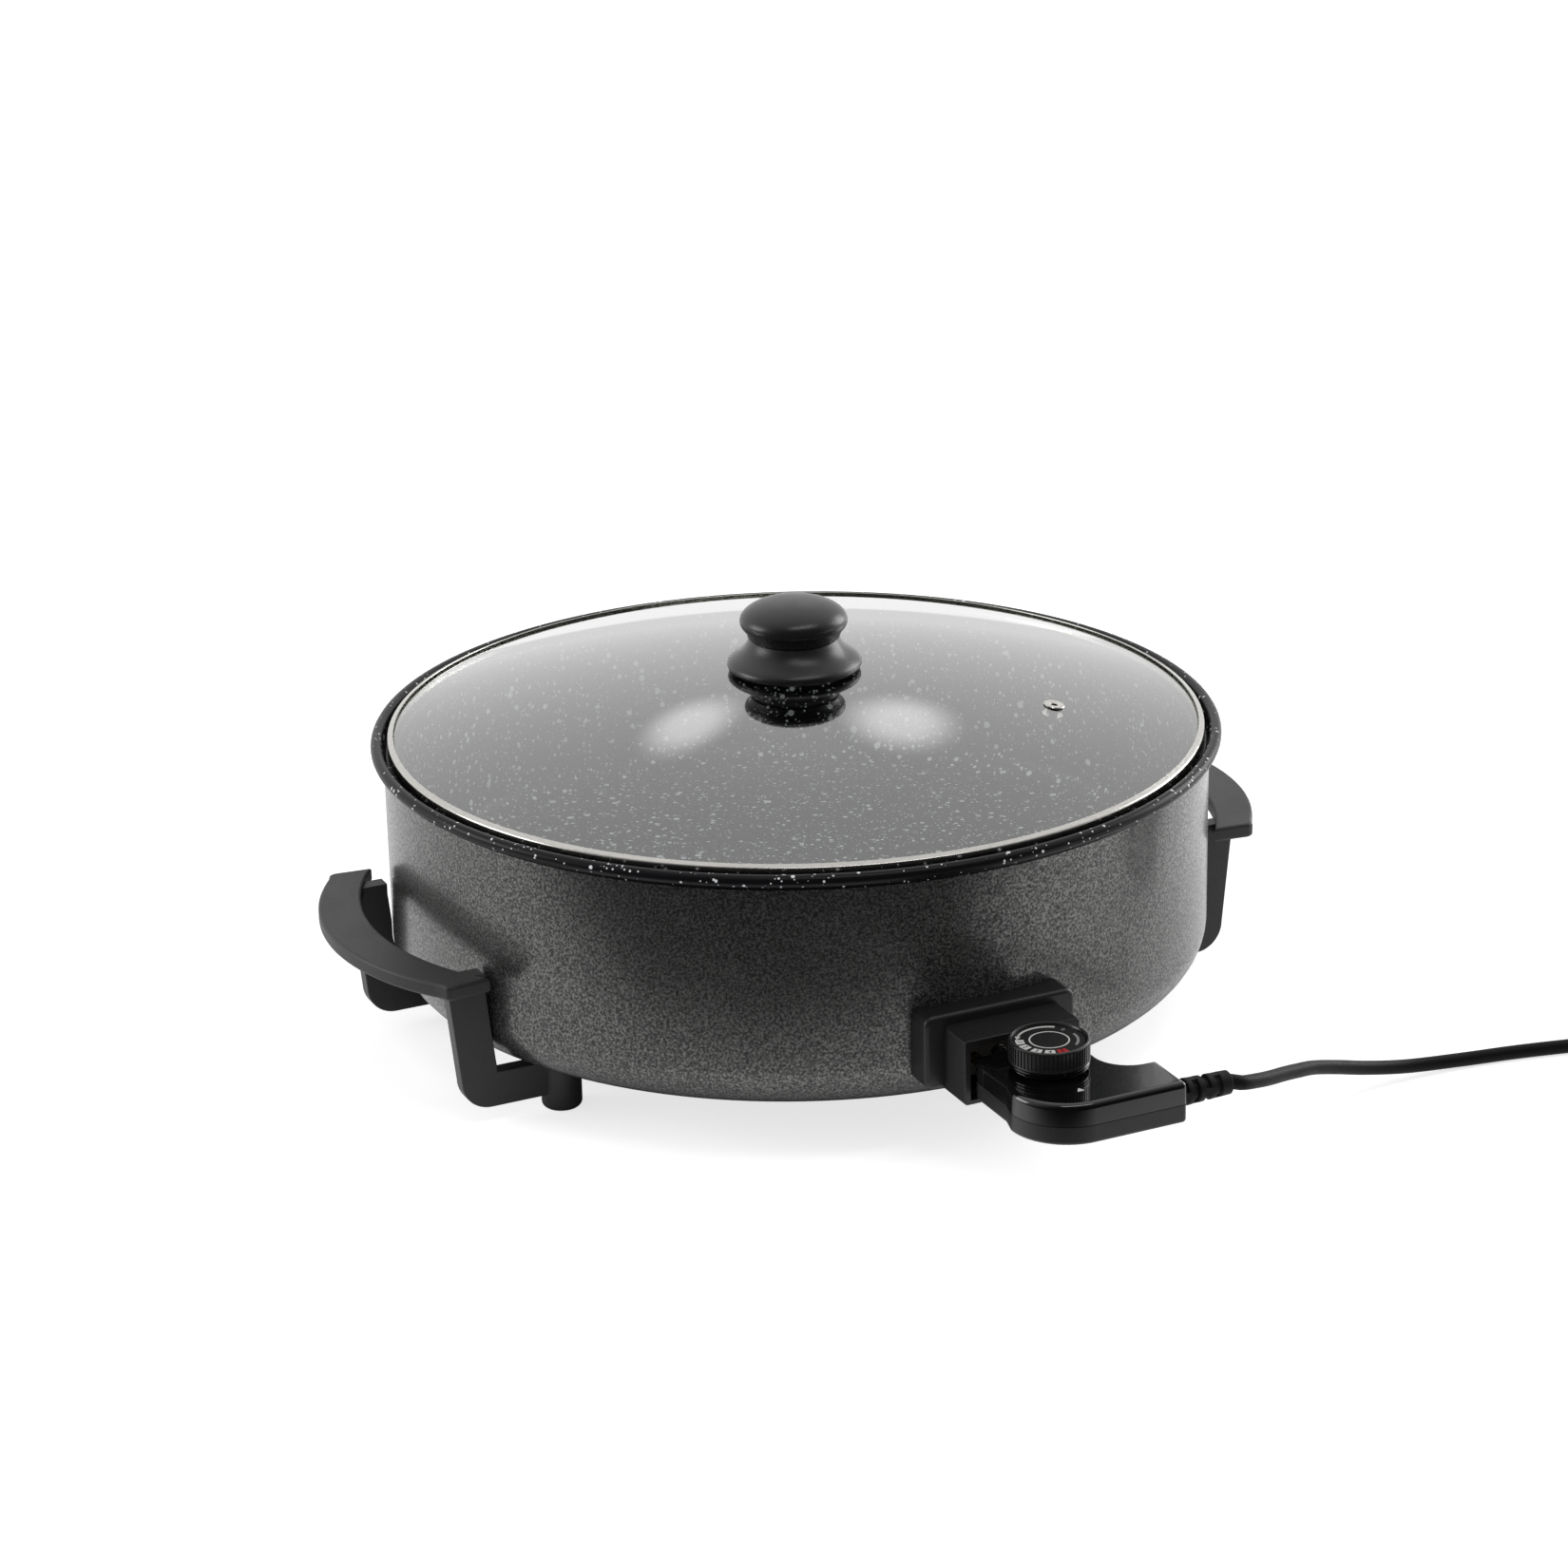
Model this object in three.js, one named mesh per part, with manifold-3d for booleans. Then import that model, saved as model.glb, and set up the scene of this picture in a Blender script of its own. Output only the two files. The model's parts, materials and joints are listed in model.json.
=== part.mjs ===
// Electric skillet: a double-walled round pan with a lift-off glass lid, two handle mouldings whose
// legs are its feet, and a plug-in thermostat probe with its mains lead.
// Millimetres, Z up. The pan's axis is upright, the control socket faces -Y, the handles are at +X and -X.

import * as THREE from "three";
import { mergeVertices } from "three/addons/utils/BufferGeometryUtils.js";
import Module from "manifold-3d";

const wasm = await Module();
wasm.setup();

// Clearances, and how far a cut runs past the face that it opens
const gap = 0.3;
const overrun = 1;

// Outer shell: painted sheet, open at the top, closed underneath
const shell = {
  radius: 204,
  underside: 27,
  thickness: 1.2,
  cornerRadius: 22.5,
};

// Inner pan: the cooking bowl with the ledge for the lid and the rolled rim
const pan = {
  rimHeight: 145.5,
  beadRadius: 3,
  wall: 2,
  wallGap: 4.8,
  floorTop: 60,
  floorThickness: 3,
  cornerRadius: 14,
  ledgeDrop: 4,
  ledgeThickness: 1.5,
  lipThickness: 1,
  ledgeFillet: 2,
};

// Glass lid with its steel band, vent eyelet and knob
const lid = {
  bandClearance: 1.3,
  bandThickness: 0.8,
  bandLip: 3,
  bandSkirt: 1.9,
  glassThickness: 4,
  rise: 27.7,
  knobHoleRadius: 4,
  ventPlace: 130,
  ventAngle: -39.7,
  ventRadius: 3.2,
  ventBore: 1.6,
  ventFlange: 5.2,
  ventSheet: 0.7,
};
const knob = {
  baseRadius: 33.2,
  baseRim: 4,
  baseHeight: 15.3,
  baseNeck: 22,
  rimLift: 0.4,
  recessRadius: 14,
  capNeck: 22.8,
  capSkirt: 25.6,
  capSkirtHeight: 5.1,
  capShoulder: 3.4,
  capRadius: 26.6,
  capCrown: 11,
  sealThickness: 1,
  washerRadius: 9,
  washerThickness: 1.2,
  screwRadius: 2.4,
  screwHead: 4.8,
  screwHeadHeight: 2.6,
  screwReach: 26,
};

// Handles: a crescent grip on two L-shaped legs that end in foot posts
const handle = {
  reach: 42,
  gripWidth: 22.5,
  outerArc: 131,
  innerArc: 135.5,
  halfSpan: 81.5,
  endSkew: 2,
  endRound: 5,
  gripTop: 79.5,
  gripThickness: 7.5,
  edgeRound: 1.8,
  legFront: 68.5,
  legThickness: 8,
  legOut: 10.8,
  legWidth: 18.2,
  legLean: 5,
  legInnerLean: 5.1,
  legSink: 5.2,
  armBottom: 8.3,
  armHeight: 17.6,
  elbowRadius: 14.5,
  postInset: 46,
  postSpan: 129,
  postRadius: 9.8,
  postRound: 3,
  rightShift: 6,
};
const footScrew = {
  radius: 2.4,
  headRadius: 4,
  headHeight: 3,
  headDepth: 5,
  nutFlats: 8,
  nutHeight: 4,
  nutReach: 1.5,
};

// Heating element, its clips and the guide tube for the sensor
const element = {
  ringRadius: 110,
  tubeRadius: 4,
  bendRadius: 20,
  leadSpacing: 25,
};
const clip = { thickness: 1.2, foot: 7, guideFoot: 4, width: 9 };
const guide = { outer: 4, length: 92 };

// Control socket on the wall
const socket = {
  flangeWidth: 78,
  flangeBottom: 41.7,
  flangeTop: 78.2,
  flangeStand: 11,
  flangeCorner: 5,
  flangeEdge: 2.2,
  shroudWidth: 59.4,
  shroudBottom: 41.3,
  shroudTop: 73,
  shroudDepth: 21,
  shroudWall: 2.9,
  shroudFloor: 2.2,
  blockWidth: 50,
  blockBottom: 44,
  blockTop: 61,
  blockThickness: 10.6,
  pinRadius: 2.5,
  pinLength: 47.5,
  screwSpacing: 65,
  screwHeight: 50,
  screwRadius: 1.7,
  screwHead: 3.4,
  screwHeadHeight: 2,
  screwLength: 13,
};

// Plug-in thermostat probe
const probe = {
  bottom: 44.6,
  height: 19.8,
  seam: 10.6,
  wall: 2,
  topRound: 2.8,
  bottomRound: 1.8,
  neckHalf: 25.2,
  neckInMouth: 2,
  neckLength: 36,
  shoulder: 2.5,
  shoulderSlope: 3,
  frontRadius: 28.2,
  depth: 70,
  armReach: 47,
  armWidth: 28.5,
  notchRadius: 16,
  dialDistance: 25,
  rodRadius: 3,
  rodLength: 128,
  sleeveWall: 0.8,
  sleeveLength: 28,
  blockHalf: 14,
  blockLength: 30,
  blockHeight: 9.7,
  bossRadius: 3.6,
  bossInset: 4.7,
  bossDistance: 25,
  screwRadius: 1.5,
  screwHead: 3,
  screwHeadHeight: 1,
  screwLength: 14,
};
const dial = {
  radius: 18.6,
  height: 10.1,
  collarHeight: 4.1,
  collarRadius: 18.2,
  collarFoot: 14,
  collarBore: 8,
  chamfer: 1,
  plateRadius: 16.3,
  plateThickness: 0.6,
  plateDrop: 1.2,
  shaftRadius: 3,
  shaftDepth: 5,
  camRadius: 6,
  camHeight: 2.5,
};
const relief = {
  length: 29,
  radius: 6.5,
  endRadius: 5.6,
  groove: 1.1,
  ribs: 4,
  neckRadius: 4.5,
  flangeRadius: 5.7,
  flangeLength: 2.7,
  drop: 1.9,
};

// Mains lead: its route from the strain relief to the coil, the coil, and the tail to the plug
const cord = {
  diameter: 7,
  coilCentreX: 392,
  coilCentreY: -215,
  coilRadius: 42,
  pitch: 8.6,
  startAngle: -75,
  innerTurns: 1.5,
  outerTurns: 2,
  stepsPerTurn: 24,
  coilSides: 6,
  sides: 8,
  steps: 58,
  tailSteps: 18,
};
const runRoute = [
  [82.5, -290.6, 51.2],
  [93, -286, 48],
  [104.7, -278.8, 44],
  [118.3, -269.6, 39.5],
  [132, -260.6, 34.8],
  [146.3, -251.2, 29.5],
  [166, -241, 21.5],
  [188, -233, 13.3],
  [213, -228.5, 7],
  [243, -229, 4.2],
  [275, -233.5, 3.7],
  [308, -241, 3.7],
  [340, -249, 3.9],
  [368, -255, 4.3],
];
const tailRoute = [
  [420, -256.5, 13.6],
  [437, -248.5, 16.4],
  [449.5, -236, 18.6],
  [456, -221, 19.9],
];
const tie = { thickness: 1, width: 9, slack: 0.9, angle: 105 };
const plug = {
  x: 457.5,
  y: -212,
  radius: 19.5,
  bodyLength: 36,
  faceBevel: 1.5,
  gripRadius: 14,
  gripLength: 12,
  bootRadius: 6.2,
  bootEnd: 4.8,
  bootLength: 20,
  pinRadius: 2.4,
  pinSpacing: 19,
  pinLength: 19,
  pinSeat: 8,
  restFlat: 0.5,
};

// How finely round shapes are drawn
const facets = { pan: 60, lid: 60, knob: 28, dial: 28, post: 16, small: 12, tube: 8 };

// Heights and places that follow from the sizes above
const ledgeTop = pan.rimHeight - pan.ledgeDrop;
const shellTop = ledgeTop - pan.ledgeThickness - gap;
const beadRing = shell.radius + pan.beadRadius;
const ledgeRadius = shell.radius - pan.lipThickness;
const panOuter = shell.radius - shell.thickness - pan.wallGap;
const floorUnderside = pan.floorTop - pan.floorThickness;
const axisHeight = floorUnderside - gap - element.tubeRadius;
const shellFloor = shell.underside + shell.thickness;
const flangeFront = shell.radius + socket.flangeStand;
const shroudFront = flangeFront + socket.shroudDepth;
const blockBack = shell.radius - shell.thickness - overrun;
const neckBack = shroudFront - probe.neckInMouth;
const probeFront = neckBack + probe.depth;
const probeTop = probe.bottom + probe.height;
const seamHeight = probeTop - probe.seam;
const dialY = -(shroudFront + probe.dialDistance);
const armCentreY = -(probeFront - probe.armWidth / 2);
const reliefHeight = probe.bottom + probe.height / 2 - relief.drop;
const dialTop = probeTop + gap + dial.collarHeight + gap + dial.height;
const bandRadius = ledgeRadius - lid.bandClearance;
const bandBottom = ledgeTop + gap;
const bandSeat = bandBottom + lid.bandSkirt;
const glassRadius = bandRadius - lid.bandThickness - gap;
const glassEdge = bandSeat + lid.bandThickness + gap;
const glassTop = glassEdge + lid.glassThickness + lid.rise;
const postX = shell.radius - handle.postInset;
const cordRadius = cord.diameter / 2;
const reliefEnd = probe.armReach + gap + relief.length;

// Solids and meshes
function solid(geometry) {
  geometry.deleteAttribute("normal");
  geometry.deleteAttribute("uv");
  const merged = mergeVertices(geometry, 1e-4);
  const index = merged.index.array;
  const kept = [];
  for (let i = 0; i < index.length; i += 3) {
    const [a, b, c] = [index[i], index[i + 1], index[i + 2]];
    if (a !== b && b !== c && c !== a) kept.push(a, b, c);
  }
  const vertProperties = new Float32Array(merged.attributes.position.array);
  return new wasm.Manifold(
    new wasm.Mesh({ numProp: 3, vertProperties, triVerts: new Uint32Array(kept) }),
  );
}

function geometryOf(made) {
  const { numProp, vertProperties, triVerts } = made.getMesh();
  const geometry = new THREE.BufferGeometry();
  const positions = new Float32Array((vertProperties.length / numProp) * 3);
  for (let i = 0; i < positions.length / 3; i += 1)
    positions.set(vertProperties.subarray(i * numProp, i * numProp + 3), i * 3);
  geometry.setAttribute("position", new THREE.BufferAttribute(positions, 3));
  geometry.setIndex(new THREE.BufferAttribute(new Uint32Array(triVerts), 1));
  geometry.computeVertexNormals();
  return geometry;
}

function paint(color, roughness, metalness = 0) {
  return new THREE.MeshStandardMaterial({ color, roughness, metalness, flatShading: true });
}

const paints = {
  hammered: paint(0x3a3b3d, 0.45, 0.35),
  granite: paint(0x17181b, 0.4),
  glass: new THREE.MeshStandardMaterial({
    color: 0xdfe6e6,
    roughness: 0.05,
    transparent: true,
    opacity: 0.35,
  }),
  steel: paint(0xc4c4c0, 0.25, 1),
  bakelite: paint(0x1c1b1a, 0.55),
  gloss: paint(0x08080a, 0.1),
  satin: paint(0x121211, 0.4),
  ceramic: paint(0xd8d2c4, 0.7),
  brass: paint(0xb08a45, 0.35, 1),
  element: paint(0x55524e, 0.5, 0.8),
  rubber: paint(0x1a1a1a, 0.75),
  cord: paint(0x1b1b1d, 0.6),
};

const root = new THREE.Group();
const lidGroup = new THREE.Group();
const probeGroup = new THREE.Group();
const dialGroup = new THREE.Group();
root.add(lidGroup, probeGroup);
probeGroup.add(dialGroup);

function add(group, name, made, material) {
  const mesh = new THREE.Mesh(made.isBufferGeometry ? made : geometryOf(made), material);
  mesh.name = name;
  group.add(mesh);
  return mesh;
}

// Profile points of an arc, in degrees
function arc(x, y, radius, from, to, steps) {
  return Array.from({ length: steps + 1 }, (_, i) => {
    const a = THREE.MathUtils.degToRad(from + ((to - from) * i) / steps);
    return [x + radius * Math.cos(a), y + radius * Math.sin(a)];
  });
}

// A profile of [radius, height] turned round the Z axis. It runs anticlockwise: outwards along the
// underside, up the outside and back inwards along the top.
function turned(profile, segments) {
  const points = profile.map(([r, z]) => new THREE.Vector2(r, z));
  const closesOnAxis = profile[0][0] === 0 && profile.at(-1)[0] === 0;
  if (!closesOnAxis) points.push(points[0].clone());
  return new THREE.LatheGeometry(points, segments).rotateX(Math.PI / 2);
}

function cylinder(radius, bottom, top, segments = facets.small) {
  return turned([[0, bottom], [radius, bottom], [radius, top], [0, top]], segments);
}

function sleeve(inner, outer, bottom, top, segments = facets.small) {
  return turned([[inner, bottom], [outer, bottom], [outer, top], [inner, top]], segments);
}

// Turns a shape that stands along Z so that it points along -Y or +X
const alongFront = (geometry) => geometry.rotateX(Math.PI / 2);
const alongRight = (geometry) => geometry.rotateY(Math.PI / 2);

function block(x0, x1, y0, y1, z0, z1) {
  const box = new THREE.BoxGeometry(x1 - x0, y1 - y0, z1 - z0);
  return box.translate((x0 + x1) / 2, (y0 + y1) / 2, (z0 + z1) / 2);
}

function shapeOf(points) {
  return new THREE.Shape(points.map(([x, y]) => new THREE.Vector2(x, y)));
}

// A plan outline raised from bottom to top, with rounded edges above and below if asked for
function raised(points, bottom, top, round = 0) {
  const geometry = new THREE.ExtrudeGeometry(shapeOf(points), {
    depth: top - bottom - 2 * round,
    bevelEnabled: round > 0,
    bevelThickness: round,
    bevelSize: round,
    bevelOffset: -round,
    bevelSegments: 2,
  });
  return geometry.translate(0, 0, bottom + round);
}

function roundedBox(width, height, corner) {
  const x = width / 2 - corner;
  const y = height / 2 - corner;
  return [
    ...arc(x, -y, corner, -90, 0, 4),
    ...arc(x, y, corner, 0, 90, 4),
    ...arc(-x, y, corner, 90, 180, 4),
    ...arc(-x, -y, corner, 180, 270, 4),
  ];
}

function tube(points, radius, sides, steps) {
  const curve = new THREE.CatmullRomCurve3(points, false, "centripetal");
  const section = shapeOf(arc(0, 0, radius, 0, 360 - 360 / sides, sides - 1));
  return new THREE.ExtrudeGeometry(section, { steps, extrudePath: curve, bevelEnabled: false });
}

// Outer shell
function shellProfile(inset) {
  const r = shell.cornerRadius;
  const bottom = shell.underside + r;
  const centre = shell.radius - r;
  return [
    [0, shell.underside + inset],
    ...arc(centre, bottom, r - inset, -90, 0, 5),
    [shell.radius - inset, shellTop],
  ];
}

// The space that pieces on the outside of the wall keep clear of
function wallClearance() {
  return solid(turned([...shellProfile(-gap), [0, shellTop]], facets.pan));
}

function makeShell() {
  const profile = [...shellProfile(0), ...shellProfile(shell.thickness).reverse()];
  let made = solid(turned(profile, facets.pan));
  const half = socket.blockWidth / 2 + 2 * gap;
  made = made.subtract(
    solid(
      block(-half, half, -shell.radius - overrun, 0, socket.blockBottom - 2 * gap, socket.blockTop + 2 * gap),
    ),
  );
  for (const side of [-1, 1]) {
    const hole = alongFront(cylinder(socket.screwRadius + gap, 0, shell.radius + overrun));
    hole.translate((side * socket.screwSpacing) / 2, 0, socket.screwHeight);
    made = made.subtract(solid(hole));
  }
  for (const [, x, y] of feet()) {
    const hole = cylinder(footScrew.radius + gap, 0, shellFloor + overrun).translate(x, y, 0);
    made = made.subtract(solid(hole));
  }
  add(root, "outer_shell", made, paints.hammered);
}

// Inner pan
function makePan() {
  const outerCorner = pan.cornerRadius + pan.wall;
  const outer = panOuter;
  const inner = outer - pan.wall;
  const bead = arc(beadRing, pan.rimHeight, pan.beadRadius, 225, 540, 7);
  const profile = [
    [0, floorUnderside],
    ...arc(outer - outerCorner, floorUnderside + outerCorner, outerCorner, -90, 0, 3),
    [outer, ledgeTop - pan.ledgeThickness],
    [shell.radius, ledgeTop - pan.ledgeThickness],
    [shell.radius, pan.rimHeight - pan.beadRadius],
    ...bead,
    [ledgeRadius, ledgeTop],
    ...arc(inner + pan.ledgeFillet, ledgeTop - pan.ledgeFillet, pan.ledgeFillet, 90, 180, 2),
    ...arc(inner - pan.cornerRadius, pan.floorTop + pan.cornerRadius, pan.cornerRadius, 0, -90, 3),
    [0, pan.floorTop],
  ];
  add(root, "inner_pan", solid(turned(profile, facets.pan)), paints.granite);
}

// Heating element: from one terminal, round the ring and back to the other
function elementPath() {
  const { ringRadius, bendRadius, leadSpacing } = element;
  const lead = leadSpacing / 2;
  const bendX = lead + bendRadius;
  const bendY = Math.sqrt((ringRadius + bendRadius) ** 2 - bendX ** 2);
  const ringStart = Math.atan2(bendX, bendY);
  const start = blockBack - gap;
  const half = [0, 1, 2, 3].map((i) => [lead, start + ((bendY - start) * i) / 4]);
  const sweep = THREE.MathUtils.radToDeg(Math.PI / 2 - ringStart);
  half.push(...arc(bendX, bendY, bendRadius, 180, 180 + sweep, 5));
  const ringSteps = 20;
  for (let i = 1; i <= ringSteps; i += 1) {
    const a = ringStart + ((Math.PI - ringStart) * i) / ringSteps;
    half.push([ringRadius * Math.sin(a), ringRadius * Math.cos(a)]);
  }
  const mirrored = half.slice(0, -1).reverse().map(([x, y]) => [-x, y]);
  return [...half, ...mirrored].map(([x, y]) => new THREE.Vector3(x, -y, axisHeight));
}

function makeElement() {
  const made = tube(elementPath(), element.tubeRadius, facets.tube, 70);
  add(root, "heating_element", solid(made), paints.element);
}

// A strap clip over a tube that lies against the pan's underside
function clipSolid(tubeRadius, foot, top) {
  const inner = tubeRadius + gap;
  const outer = inner + clip.thickness;
  const reach = outer + foot;
  const outline = [
    [-reach, top],
    [-reach, top - clip.thickness],
    [-outer, top - clip.thickness],
    ...arc(0, 0, outer, 180, 360, 8),
    [outer, top - clip.thickness],
    [reach, top - clip.thickness],
    [reach, top],
    [inner, top],
    ...arc(0, 0, inner, 360, 180, 8),
    [-inner, top],
  ];
  const strap = raised(outline, -clip.width / 2, clip.width / 2);
  return strap.rotateX(Math.PI / 2).translate(0, 0, axisHeight);
}

function makeClips() {
  const top = floorUnderside - gap - axisHeight;
  const angles = [-30, 90, 210];
  angles.forEach((angle, i) => {
    const strap = clipSolid(element.tubeRadius, clip.foot, top).translate(element.ringRadius, 0, 0);
    strap.rotateZ(THREE.MathUtils.degToRad(angle));
    add(root, `element_clip_${i + 1}`, solid(strap), paints.steel);
  });
  const onGuide = clipSolid(guide.outer, clip.guideFoot, top);
  onGuide.translate(0, -(blockBack - guide.length + clip.width), 0);
  add(root, "guide_clip", solid(onGuide), paints.steel);
}

// Control socket: moulded housing, terminal block, contact pins, sensor guide and screws
function makeSocket() {
  const { flangeWidth, flangeBottom, flangeTop, shroudWidth, shroudBottom, shroudTop } = socket;
  const flangeBack = Math.sqrt(shell.radius ** 2 - (flangeWidth / 2) ** 2);
  const flangeMiddle = (flangeBottom + flangeTop) / 2;
  const flange = raised(
    roundedBox(flangeWidth, flangeTop - flangeBottom, socket.flangeCorner),
    flangeBack - pan.wallGap,
    flangeFront,
    socket.flangeEdge,
  );
  alongFront(flange).translate(0, 0, flangeMiddle);
  const shroudMiddle = (shroudBottom + shroudTop) / 2;
  const shroud = raised(
    roundedBox(shroudWidth, shroudTop - shroudBottom, overrun),
    flangeFront - 2 * socket.flangeEdge,
    shroudFront,
  );
  alongFront(shroud).translate(0, 0, shroudMiddle);
  let made = solid(flange).add(solid(shroud));

  made = made.subtract(wallClearance());

  const blockHalf = socket.blockWidth / 2;
  const blockFront = blockBack + socket.blockThickness;
  const { blockBottom } = socket;
  const mouthHalf = shroudWidth / 2 - socket.shroudWall;
  const mouth = block(
    -mouthHalf,
    mouthHalf,
    -shroudFront - overrun,
    -blockFront - gap,
    shroudBottom + socket.shroudFloor,
    shroudTop - socket.shroudWall,
  );
  const pocket = block(
    -blockHalf - gap,
    blockHalf + gap,
    -blockFront - gap - overrun,
    0,
    blockBottom - gap,
    socket.blockTop + gap,
  );
  made = made.subtract(solid(mouth)).subtract(solid(pocket));
  const screwStart = screwSeat();
  for (const side of [-1, 1]) {
    const hole = cylinder(socket.screwRadius + gap, 0, screwStart + socket.screwLength + gap);
    alongFront(hole).translate((side * socket.screwSpacing) / 2, 0, socket.screwHeight);
    made = made.subtract(solid(hole));
  }
  add(root, "socket_housing", made, paints.bakelite);

  let plate = solid(block(-blockHalf, blockHalf, -blockFront, -blockBack, blockBottom, socket.blockTop));
  const holes = [
    [-element.leadSpacing / 2, socket.pinRadius],
    [0, guide.outer],
    [element.leadSpacing / 2, socket.pinRadius],
  ];
  for (const [x, radius] of holes) {
    const hole = alongFront(cylinder(radius + gap, blockBack - overrun, blockFront + overrun));
    plate = plate.subtract(solid(hole.translate(x, 0, axisHeight)));
  }
  add(root, "terminal_block", plate, paints.ceramic);

  for (const [side, word] of [[-1, "left"], [1, "right"]]) {
    const pin = alongFront(cylinder(socket.pinRadius, blockBack, blockBack + socket.pinLength));
    pin.translate((side * element.leadSpacing) / 2, 0, axisHeight);
    add(root, `terminal_pin_${word}`, solid(pin), paints.brass);

    const screw = turned(
      [
        [0, screwStart - socket.screwHeadHeight],
        [socket.screwHead, screwStart - socket.screwHeadHeight],
        [socket.screwHead, screwStart],
        [socket.screwRadius, screwStart],
        [socket.screwRadius, screwStart + socket.screwLength],
        [0, screwStart + socket.screwLength],
      ],
      facets.small,
    );
    alongFront(screw).translate((side * socket.screwSpacing) / 2, 0, socket.screwHeight);
    add(root, `socket_screw_${word}`, solid(screw), paints.steel);
  }

  const bore = probe.rodRadius + gap;
  const pipe = alongFront(sleeve(bore, guide.outer, blockBack - guide.length, blockFront));
  add(root, "sensor_guide", solid(pipe.translate(0, 0, axisHeight)), paints.steel);
}

// Where a socket screw's head bears on the inside of the curved wall
function screwSeat() {
  const edge = socket.screwSpacing / 2 + socket.screwHead;
  return Math.sqrt((shell.radius - shell.thickness) ** 2 - edge ** 2) - 2 * gap;
}

// The two sides, each with its name and how far back its handle sits. The right-hand one sits a little
// further from the socket.
const sides = [
  [-1, "left", 0],
  [1, "right", handle.rightShift],
];

// The four feet: name, place along X, place along Y
function feet() {
  const places = [];
  for (const [side, word, shift] of sides)
    for (const [end, place] of [[-1, "front"], [1, "rear"]])
      places.push([`${word}_${place}`, side * postX, (end * handle.postSpan) / 2 + shift]);
  return places;
}

// The grip seen from above, at the right-hand side, from its outer arc round to its inner arc
function gripOutline() {
  const outerX = shell.radius + handle.reach - handle.outerArc;
  const innerX = shell.radius + handle.reach - handle.gripWidth - handle.innerArc;
  const outerEnd = THREE.MathUtils.radToDeg(
    Math.asin((handle.halfSpan - handle.endRound) / handle.outerArc),
  );
  const innerEnd = THREE.MathUtils.radToDeg(
    Math.asin((handle.halfSpan - handle.endSkew) / handle.innerArc),
  );
  const outer = arc(outerX, 0, handle.outerArc, -outerEnd, outerEnd, 10);
  const inner = arc(innerX, 0, handle.innerArc, innerEnd, -innerEnd, 10);
  const [cornerX, cornerY] = outer.at(-1);
  const corner = arc(
    cornerX - handle.endRound,
    cornerY,
    handle.endRound,
    outerEnd,
    90,
    3,
  ).slice(1);
  const lower = corner.map(([x, y]) => [x, -y]).reverse();
  return [...lower, ...outer, ...corner, ...inner];
}

// One leg in its own plane: across the handle and upright
function legOutline() {
  const gripBottom = handle.gripTop - handle.gripThickness;
  const top = gripBottom + handle.legSink;
  const outer = shell.radius + handle.legOut;
  const inner = outer - handle.legWidth;
  const foot = outer - handle.legLean;
  const armTop = handle.armBottom + handle.armHeight;
  return [
    [postX, handle.armBottom],
    ...arc(foot - handle.elbowRadius, handle.armBottom + handle.elbowRadius, handle.elbowRadius, -90, 0, 5),
    [outer, gripBottom],
    [outer, top],
    [inner, top],
    [inner, gripBottom],
    [inner - handle.legInnerLean, armTop],
    [postX, armTop],
  ];
}

// A right-hand handle moulding for a place that sits back by the given shift
function handleSolid(shift) {
  const { gripTop, gripThickness, postRadius, postRound } = handle;
  const postTop = shell.underside - gap;
  let made = solid(raised(gripOutline(), gripTop - gripThickness, gripTop, handle.edgeRound));
  const clear = wallClearance().translate([0, -shift, 0]);
  for (const end of [-1, 1]) {
    const leg = raised(legOutline(), 0, handle.legThickness).rotateX(Math.PI / 2);
    leg.translate(0, end < 0 ? -handle.legFront + handle.legThickness : handle.legFront, 0);
    const post = turned(
      [
        [0, 0],
        ...arc(postRadius - postRound, postRound, postRound, -90, 0, 3),
        [postRadius, postTop],
        [0, postTop],
      ],
      facets.post,
    );
    const postY = (end * handle.postSpan) / 2;
    post.translate(postX, postY, 0);
    made = made.add(solid(leg).subtract(clear)).add(solid(post));
    const bore = cylinder(footScrew.radius + gap, -overrun, postTop + overrun);
    const recess = cylinder(
      footScrew.headRadius + gap,
      -overrun,
      footScrew.headDepth + footScrew.headHeight + gap,
    );
    for (const cut of [bore, recess])
      made = made.subtract(solid(cut.translate(postX, postY, 0)));
  }
  return made;
}

function makeHandles() {
  for (const [side, word, shift] of sides) {
    const mesh = add(root, `handle_${word}`, handleSolid(shift), paints.bakelite);
    mesh.scale.x = side;
    mesh.position.y = shift;
  }
}

function makeFeetFixings() {
  const headTop = footScrew.headDepth + footScrew.headHeight;
  const nutBottom = shellFloor + gap;
  const nutTop = nutBottom + footScrew.nutHeight;
  for (const [word, x, y] of feet()) {
    const screw = turned(
      [
        [0, footScrew.headDepth],
        [footScrew.headRadius, footScrew.headDepth],
        [footScrew.headRadius, headTop],
        [footScrew.radius, headTop],
        [footScrew.radius, nutTop + footScrew.nutReach],
        [0, nutTop + footScrew.nutReach],
      ],
      facets.small,
    );
    add(root, `foot_screw_${word}`, solid(screw.translate(x, y, 0)), paints.steel);
    const corner = footScrew.nutFlats / 2 / Math.cos(Math.PI / 6);
    const nut = solid(cylinder(corner, nutBottom, nutTop, 6)).subtract(
      solid(cylinder(footScrew.radius + gap, nutBottom - overrun, nutTop + overrun)),
    );
    add(root, `foot_nut_${word}`, nut.translate([x, y, 0]), paints.steel);
  }
}

// Glass lid
const domeRadius = (glassRadius ** 2 + lid.rise ** 2) / (2 * lid.rise);
const domeAt = (r, drop) =>
  glassTop - drop - (domeRadius - Math.sqrt(domeRadius ** 2 - r ** 2));

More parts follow.
